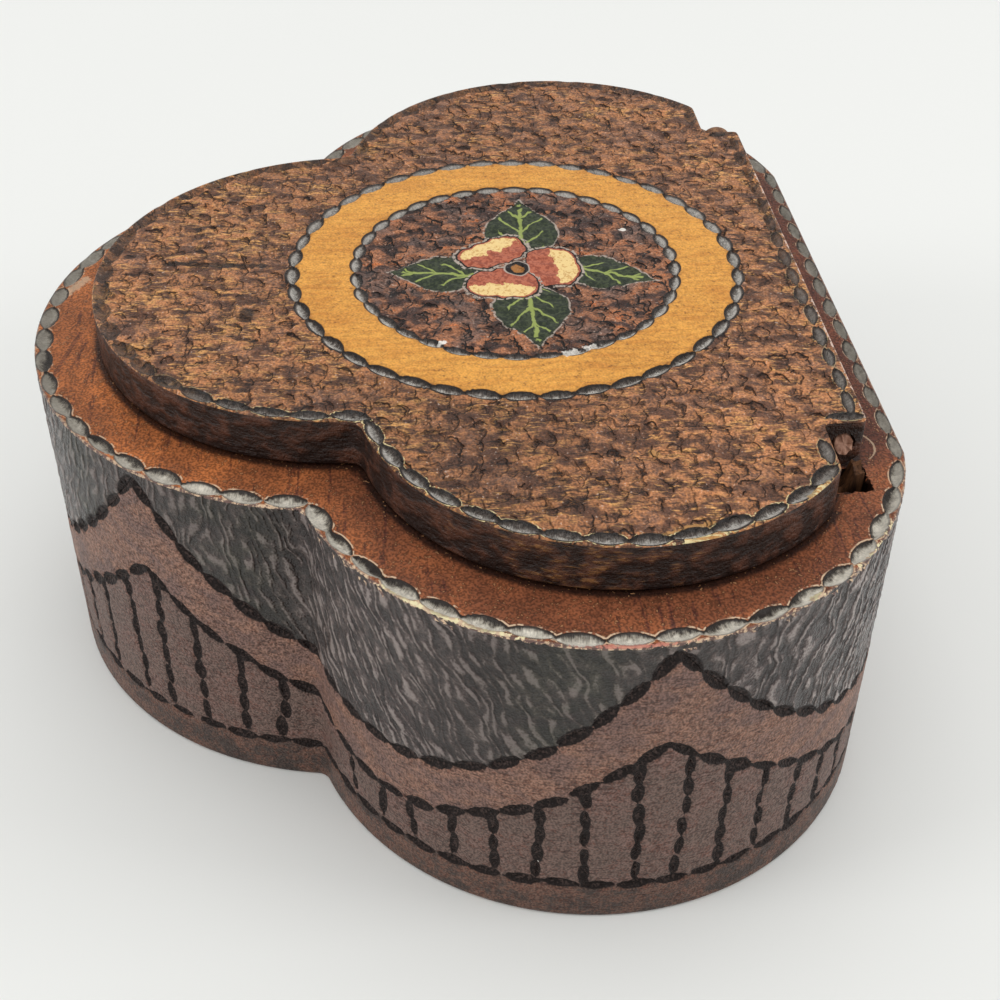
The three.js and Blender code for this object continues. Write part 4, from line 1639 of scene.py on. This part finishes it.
@dataclass
class CarvedLid:
    """Board lid: pecked top with a round medallion, a chain of cuts round its arris and a notch at each hinge end."""

    step: float = 0.44
    arris: float = 0.25
    side_rows: int = 12
    rim_cut: Gouge = Gouge(pitch=4.6, width=1.9, depth=0.7, stray=0.1)
    rim_inset: float = 1.0
    ring_cut: Gouge = Gouge(pitch=4.2, width=1.7, depth=0.65, stray=0.06)
    inner_cut: Gouge = Gouge(pitch=3.6, width=1.5, depth=0.55, stray=0.06)
    roll: float = 3.05
    hole_end: float = 28.45
    peck_depth: float = 0.48
    bare_edges: Bells = ((1.0, 96, 3.5), (1.0, 112, 3))

    def build(self) -> bpy.types.Object:
        """Models, carves and dresses the lid.

        Returns:
            The finished piece.
        """
        outline = self._outline()
        top = self._top(outline)
        side = band("carved_lid", self._side_rings(outline))
        choose(side, top)
        bpy.ops.object.join()
        merge(side)
        close_ends(side)
        self._pin_holes(side)
        self._layout(side, outline)
        self._peck(side)
        self._dress(side)
        smooth(side)
        settle(side, "lid", Body.LID)
        return side

    def _outline(self) -> np.ndarray:
        """The notched outline, evenly stepped and a little worn at its corners."""
        ring = LID_PLAN.ring((200, 20, 300, 100))
        right = ring[(ring[:, 0] >= 0) & (ring[:, 1] < NOTCH_FRONT)]
        meet = LID_PLAN.side_x + math.sqrt(LID_PLAN.side_r**2 - (NOTCH_FRONT - LID_PLAN.side_y) ** 2)
        corners = [(meet, NOTCH_FRONT), (NOTCH_X, NOTCH_FRONT), (NOTCH_X, LID_PLAN.back), (0.0, LID_PLAN.back)]
        right = np.vstack([right[np.argsort(LID_PLAN.locate(right)[0])], corners])
        loop = np.vstack([right, right[1:-1][::-1] * (-1, 1), right[:1]])
        length = totals(np.linalg.norm(np.diff(loop, axis=0), axis=1))
        count = int(length[-1] / self.step)
        even = np.arange(count) * length[-1] / count
        points = np.column_stack([np.interp(even, length, loop[:, axis]) for axis in (0, 1)])
        for _ in range(3):
            points = (np.roll(points, 1, axis=0) + 2 * points + np.roll(points, -1, axis=0)) / 4
        return points

    @staticmethod
    def _inset(outline: np.ndarray, distance: float) -> np.ndarray:
        """A closed outline moved inwards along its own normals."""
        tangent = np.roll(outline, -1, axis=0) - np.roll(outline, 1, axis=0)
        tangent /= np.linalg.norm(tangent, axis=1)[:, None]
        return outline + distance * np.column_stack([-tangent[:, 1], tangent[:, 0]])

    @staticmethod
    def edge_gap(points: np.ndarray) -> np.ndarray:
        """Distance of points from the notched outline."""
        _, lobes = LID_PLAN.locate(points)
        notch = np.hypot(np.maximum(NOTCH_X - np.abs(points[:, 0]), 0), np.maximum(NOTCH_FRONT - points[:, 1], 0))
        return np.minimum(lobes, notch)

    def _top(self, outline: np.ndarray) -> bpy.types.Object:
        """The top face: fine rings along the chains of cuts and an even net elsewhere."""
        border = self._inset(outline, self.arris)
        sets = [border]
        for distance in np.arange(0.55, 2.5, 0.3):
            ring = self._inset(outline, distance)
            sets.append(ring[self.edge_gap(ring) > distance * 0.93])
        for radius in [*np.arange(19.0, 21.9, 0.3), 22.6, 23.6, 24.6, 25.6, 26.4, *np.arange(27.0, 29.8, 0.3)]:
            turns = np.arange(0, 2 * math.pi, 0.42 / radius)
            sets.append(np.column_stack([radius * np.cos(turns), MEDALLION_Y + radius * np.sin(turns)]))
        net = np.mgrid[-56:56 : self.step * 0.93, -44:46 : self.step * 0.93].reshape(2, -1).T
        net[:, 0] += (np.round(net[:, 1] / (self.step * 0.93)) % 2) * self.step * 0.46
        gap = self.edge_gap(net)
        reach = np.hypot(net[:, 0], net[:, 1] - MEDALLION_Y)
        inside = self.covers(net) & (gap > 2.6) & ((reach < 18.75) | (reach > 30.0))
        sets.append(net[inside])
        points = np.vstack([sets[0], *[part[self.covers(part)] for part in sets[1:]]])
        corners = [Vector(point) for point in points.tolist()]
        places, _, faces, *_ = geometry.delaunay_2d_cdt(corners, [], [list(range(len(border)))], 1, 1e-5)
        mesh = bpy.data.meshes.new("lid_top")
        mesh.from_pydata([(place.x * MM, place.y * MM, LID_TOP * MM) for place in places], [], faces)
        made = bpy.data.objects.new("lid_top", mesh)
        bpy.context.scene.collection.objects.link(made)
        return made

    @staticmethod
    def covers(points: np.ndarray) -> np.ndarray:
        """Which points lie on the lid's board."""
        x, y = np.abs(points[:, 0]), points[:, 1]
        front = np.hypot(x, y - LID_PLAN.front_y) < LID_PLAN.front_r
        side = (np.hypot(x - LID_PLAN.side_x, y - LID_PLAN.side_y) < LID_PLAN.side_r) & (y < LID_PLAN.back)
        middle = (x < LID_PLAN.side_x) & (y > 0) & (y < LID_PLAN.back)
        return (front | side | middle) & ~((x > NOTCH_X) & (y > NOTCH_FRONT))

    def _side_rings(self, outline: np.ndarray) -> np.ndarray:
        """Rings of the underside's arris and the side, rolled in below the hinge."""
        levels = [(LID_BOTTOM, self.arris), (LID_BOTTOM + 0.08, 0.08)]
        heights = np.linspace(LID_BOTTOM + self.arris, LID_TOP - self.arris, self.side_rows)
        levels += [(height, 0.0) for height in heights]
        levels += [(LID_TOP - 0.08, 0.08), (LID_TOP, self.arris)]
        rings = []
        for height, distance in levels:
            ring = self._inset(outline, distance)
            below = max(0.0, HINGE_Z - height)
            reach = math.sqrt(max(self.roll**2 - below**2, 0.04)) if below else LID_PLAN.back - HINGE_Y
            share = min(1.0, reach / (LID_PLAN.back - HINGE_Y))
            rolled = (np.abs(ring[:, 0]) < NOTCH_X + 1) & (ring[:, 1] > HINGE_Y)
            ring[rolled, 1] = HINGE_Y + (ring[rolled, 1] - HINGE_Y) * share
            rings.append(np.column_stack([ring, np.full(len(ring), height)]))
        return np.array(rings)

    def _pin_holes(self, skin: bpy.types.Object) -> None:
        """Bores the pin holes into the two ends of the hinge side."""
        for sign in (-1, 1):
            cut_away(skin, rod("drill", HOLE_RADIUS, sign * self.hole_end, sign * (NOTCH_X + 1)))

    def _layout(self, skin: bpy.types.Object, outline: np.ndarray) -> None:
        """Stores the layout at the skin's points, then presses the cuts in."""
        places = points_of(skin)
        cuts = CutField(seed=21)
        rim = self._inset(outline, self.rim_inset)
        add_chain(cuts, rim, self.rim_cut, skip=np.array([NOTCH_X, NOTCH_FRONT]))
        cuts.slim(LID_PLAN.back - self.rim_inset - 0.5, BACK_CUT_SHARE, -0.15)
        for radius, gouge in ((RING_OUTER, self.ring_cut), (RING_INNER, self.inner_cut)):
            turns = np.linspace(0, 2 * math.pi, 400, endpoint=False)
            add_chain(cuts, np.column_stack([radius * np.cos(turns), MEDALLION_Y + radius * np.sin(turns)]), gouge)
        marks = cuts.press(places[:, 0], places[:, 1], 1.3)
        on_top = places[:, 2] > LID_TOP - 0.2
        gap = self.edge_gap(places)
        reach = np.hypot(places[:, 0], places[:, 1] - MEDALLION_Y)
        run, _ = LID_PLAN.locate(places)
        for name in ("inside", "side", "along"):
            carry(skin, **{f"cut_{name}": np.where(on_top, marks[name], -1)})
        carry(skin, edge=gap, side_wear=bell(run, 84, 16))
        carry_roll(skin, run, LID_PLAN.half)
        # Painted light: chain_light makes the cuts brighter towards the near side and duller towards the far side;
        # along the rim it is also lower at the worn front and near the hinge side
        near = np.clip((places[:, 0] + 25) / 45, 0, 1)
        worn_front = np.clip((places[:, 1] + 34) / 22, 0, 1)
        rim_light = near * (0.1 + 0.7 * worn_front) * np.clip((42 - places[:, 1]) / 8, 0.35, 1)
        carry(skin, chain_light=np.where(reach < 31, 0.5 + 0.5 * near, rim_light))
        arris = np.clip(1.5 - (gap + LID_TOP - places[:, 2]) / 0.6, 0, 1)
        hinge_edge = bell(places[:, 1], LID_PLAN.back, 0.5) * (np.abs(places[:, 0] - 3) < 32) * 0.62
        carry(skin, raw_cream=arris * (bells(run, self.bare_edges) + hinge_edge))
        ring = (reach > RING_INNER - 0.2) & (reach < RING_OUTER + 0.2)
        plain = np.clip(1 - 5 * (marks["inside"] + 0.12), 0, 1) * ~ring * np.clip((gap - 0.2) / 0.6, 0, 1)
        carry(skin, pecked=plain * on_top * np.where(reach < RING_INNER, 0.8, 1.0))
        places[:, 2] -= marks["depth"] * on_top
        place_points(skin, places)

    def _peck(self, skin: bpy.types.Object) -> None:
        """Presses the bark-like marks into the top."""
        board = ReliefBoard("pecked_top")
        flat = board.joined(board.x, board.y, 0.0)
        warp = [board.noise(flat, 2.6, 3, 0.6, 0, seed) for seed in (31, 32)]
        across = board.keep("bark_u", board.x * 0.85 + warp[0] * 2.2)
        along = board.keep("bark_v", board.y * 1.05 + warp[1] * 2.2)
        board.keep("cloud", board.noise(flat, 8, 3, 0.6, 0.5, 43))
        board.keep("patch", board.noise(flat, (1.5, 2.6, 1), 2, 0.6, 0.5, 49))
        for name, seed in (("stray_u", 45), ("stray_v", 46)):
            board.keep(name, board.noise(flat, 1.6, 2, 0.5, 0, seed))
        depth, _ = bark(board, across, along)
        board.press(skin, depth * board.attribute("pecked") * self.peck_depth)

    def _dress(self, skin: bpy.types.Object) -> None:
        """Gives each face its finish: top, side or plain underside."""
        under = PlainWoodFinish("lid_underside", paint(160, 114, 74), paint(118, 78, 50), (0, 1, 0), 0.62)
        middle, normal = faces_of(skin)
        z = middle[:, 2]
        index = np.where(z > LID_TOP - 1.3, LidFace.FIELD, LidFace.SIDE)
        index[(normal[:, 2] < 0.35) & (z > LID_BOTTOM + 0.1) & (self.edge_gap(middle) < 0.2)] = LidFace.SIDE
        index[normal[:, 2] < -0.8] = LidFace.UNDERSIDE
        reach = np.hypot(middle[:, 0], middle[:, 1] - MEDALLION_Y)
        index[(index == LidFace.FIELD) & (reach < DISC_REACH)] = LidFace.DISC
        finish_faces(skin, (LidFinish(TopPart.FIELD), LidSideFinish(), under, LidFinish(TopPart.DISC)), index)


def rod(name: str, radius: float, start: float, end: float, sides: int = 24) -> bpy.types.Object:
    """A round rod on the hinge line between two x places in millimetres, its axis in its mesh."""
    choose_none()
    bpy.ops.mesh.primitive_cylinder_add(vertices=sides, radius=radius * MM, depth=abs(end - start) * MM)
    made = bpy.context.object
    made.name = name
    turn = Matrix.Rotation(math.radians(90), 4, "Y")
    made.data.transform(Matrix.Translation(Vector(((start + end) / 2, HINGE_Y, HINGE_Z)) * MM) @ turn)
    return made


# Hinge fittings

FITTING_PALE = paint(150, 112, 82)
FITTING_DARK = paint(92, 62, 46)


@dataclass
class HingeEar:
    """Upright ear with a round head, whole, let into the left of the body."""

    thickness: float = 3.0
    worn: float = 0.3

    def build(self) -> bpy.types.Object:
        """Models and dresses the ear."""
        inner = -NOTCH_X - EAR_GAP
        ear = rod("hinge_ear", EAR_HEAD, inner - self.thickness, inner, 40)
        drop = (BODY_HEIGHT - EAR_TENON - HINGE_Z) * MM
        with editing(ear):
            bpy.ops.mesh.bisect(plane_co=(0, 0, HINGE_Z * MM), plane_no=(0, 0, -1), clear_outer=True, use_fill=True)
            bpy.ops.mesh.extrude_region_move(TRANSFORM_OT_translate={"value": (0, 0, drop)})
            bpy.ops.mesh.select_all(action="SELECT")
            bpy.ops.mesh.normals_make_consistent(inside=False)
        cut_away(ear, rod("drill", HOLE_RADIUS, inner - self.thickness - 1, inner + 1))
        wear(ear, self.worn)
        dress_fitting(ear)
        settle(ear, "left_hinge_ear", Body.BODY)
        return ear


@dataclass
class EarStump:
    """What is left of the right ear: torn out in front, with a splintered spur at the back of its mortise."""

    thickness: float = 2.0
    inner_top: float = 1.5
    outer_top: float = 0.5
    spur: float = 43.6
    hollow: float = 2.6
    worn: float = 0.12

    def build(self) -> bpy.types.Object:
        """Models and dresses the stump."""
        inner = NOTCH_X + EAR_GAP
        low = (inner, HINGE_Y - EAR_HEAD, BODY_HEIGHT - EAR_TENON)
        high = (inner + self.thickness, HINGE_Y + EAR_HEAD, BODY_HEIGHT + self.inner_top)
        stump = block("ear_stump", low, high, 7)
        places = points_of(stump)
        hand = np.random.default_rng(31)
        share = (places[:, 2] - low[2]) / (high[2] - low[2])
        across = (places[:, 0] - low[0]) / self.thickness
        splinter = hand.uniform(0, 1, len(places)) * 0.8
        spur = np.clip((places[:, 1] - self.spur) / 0.8, 0, 1)
        fall = across * (self.inner_top - self.outer_top) * 0.5 + splinter + (1 - spur) * self.hollow
        places[:, 2] -= fall * np.clip((share - 0.55) / 0.3, 0, 1)
        place_points(stump, places)
        wear(stump, self.worn)
        # The stump's wood is drawn darker than the other fittings, partly as painted shade down in its torn mortise
        dress_fitting(stump, paint(104, 70, 46), paint(40, 25, 18))
        settle(stump, "right_ear_stump", Body.BODY)
        return stump


@dataclass
class HingePin:
    """Wooden pin from the lid's end into an ear."""

    name: str
    node: str
    start: float
    end: float
    broken: bool = False
    radius: float = 1.1
    break_depth: float = 0.9
    worn: float = 0.12

    def build(self) -> bpy.types.Object:
        """Models and dresses the pin."""
        pin = rod(self.name, self.radius, self.start, self.end)
        if self.broken:
            with editing(pin):
                bpy.ops.mesh.poke()
            places = points_of(pin)
            hand = np.random.default_rng(41)
            outer = np.abs(places[:, 0] - self.end) < 0.01
            back = self.break_depth + (places[outer, 2] - HINGE_Z) * 0.5 + hand.uniform(-0.25, 0.25, outer.sum())
            places[outer, 0] -= np.clip(back, 0, 2) * math.copysign(1, self.end)
            place_points(pin, places)
        wear(pin, self.worn)
        dress_fitting(pin, *((paint(178, 138, 118), paint(120, 82, 64)) if self.broken else ()))
        settle(pin, self.node, Body.LID)
        return pin


def wear(piece: bpy.types.Object, width: float) -> None:
    """Rounds a piece's arrises by a width in millimetres."""
    modify(piece, "BEVEL", width=width * MM, segments=2, limit_method="ANGLE", angle_limit=math.radians(35))
    smooth(piece, 40)


def dress_fitting(piece: bpy.types.Object, pale: Colour = FITTING_PALE, dark: Colour = FITTING_DARK) -> None:
    """Gives a hinge fitting its brown wood, unless other colours are given."""
    piece.data.materials.clear()
    wood = PlainWoodFinish(f"{piece.name}_wood", pale, dark, (0, 0, 1), 0.55)
    piece.data.materials.append(wood.make())


# Studio


@dataclass
class Studio:
    """Pale seamless floor, soft light from above and from both sides, and the camera."""

    camera_place: tuple[float, float, float] = (171.606, -8.612, 154.29)
    camera_turn: tuple[float, float, float] = (50.524, -0.555, 84.957)
    lens: float = 56.074
    panels: tuple[tuple[str, tuple[float, float, float], float, float], ...] = (
        ("top_panel", (0.0, 0.0, 1.3), 1.0, 3.6),
        ("left_panel", (0.2, -1.1, 0.6), 0.4, 2.6),
        ("right_panel", (0.2, 1.1, 0.6), 0.4, 2.6),
    )
    sky: float = 0.77
    floor_size: float = 6.0

    def build(self) -> None:
        """Sets up floor, lights, surroundings and camera."""
        self._floor()
        for panel in self.panels:
            self._light(*panel)
        self._surroundings()
        self._camera()

    def _floor(self) -> None:
        """A pale seamless floor."""
        choose_none()
        bpy.ops.mesh.primitive_plane_add(size=self.floor_size)
        floor = bpy.context.object
        floor.name = "floor"
        board = ShaderBoard("pale_floor")
        tone = board.noise(board.place, 300, 2, 0.5, 0, 71)
        colour = board.mix(tone, paint(232, 233, 230), paint(238, 239, 236))
        floor.data.materials.append(board.finish(colour, 0.6, specular=0.2))

    @staticmethod
    def _light(name: str, place: tuple[float, float, float], size: float, power: float) -> None:
        """A soft square light, in metres, aimed at the box."""
        lamp = bpy.data.lights.new(name, "AREA")
        lamp.shape = "SQUARE"
        lamp.size = size
        lamp.energy = power
        made = bpy.data.objects.new(name, lamp)
        made.location = place
        aim = Vector((0, 0, 0.03)) - Vector(place)
        made.rotation_euler = aim.to_track_quat("-Z", "Y").to_euler()
        bpy.context.scene.collection.objects.link(made)

    def _surroundings(self) -> None:
        """Even pale light from all round."""
        world = bpy.data.worlds.new("soft_white")
        world.use_nodes = True
        background = world.node_tree.nodes["Background"]
        background.inputs["Color"].default_value = (1.0, 1.0, 1.0, 1.0)
        background.inputs["Strength"].default_value = self.sky
        bpy.context.scene.world = world
        bpy.context.scene.view_settings.view_transform = "Standard"

    def _camera(self) -> None:
        """The camera, where the rings on the lid and the upright edges say that it stood."""
        data = bpy.data.cameras.new("camera")
        data.lens = self.lens
        data.sensor_width = 36
        data.clip_start = 0.01
        made = bpy.data.objects.new("camera", data)
        made.location = Vector(self.camera_place) * MM
        made.rotation_euler = [math.radians(part) for part in self.camera_turn]
        bpy.context.scene.collection.objects.link(made)
        bpy.context.scene.camera = made


def main() -> None:
    """Builds the box and its studio."""
    logging.basicConfig(level=logging.INFO, format="%(name)s %(message)s")
    Studio().build()
    CarvedBody().build()
    CarvedLid().build()
    HingeEar().build()
    EarStump().build()
    HingePin("left_pin", "left_hinge_pin", -28.8, -38.95).build()
    HingePin("right_pin", "right_hinge_pin", 28.8, 37.0, broken=True).build()


if __name__ == "__main__":
    main()
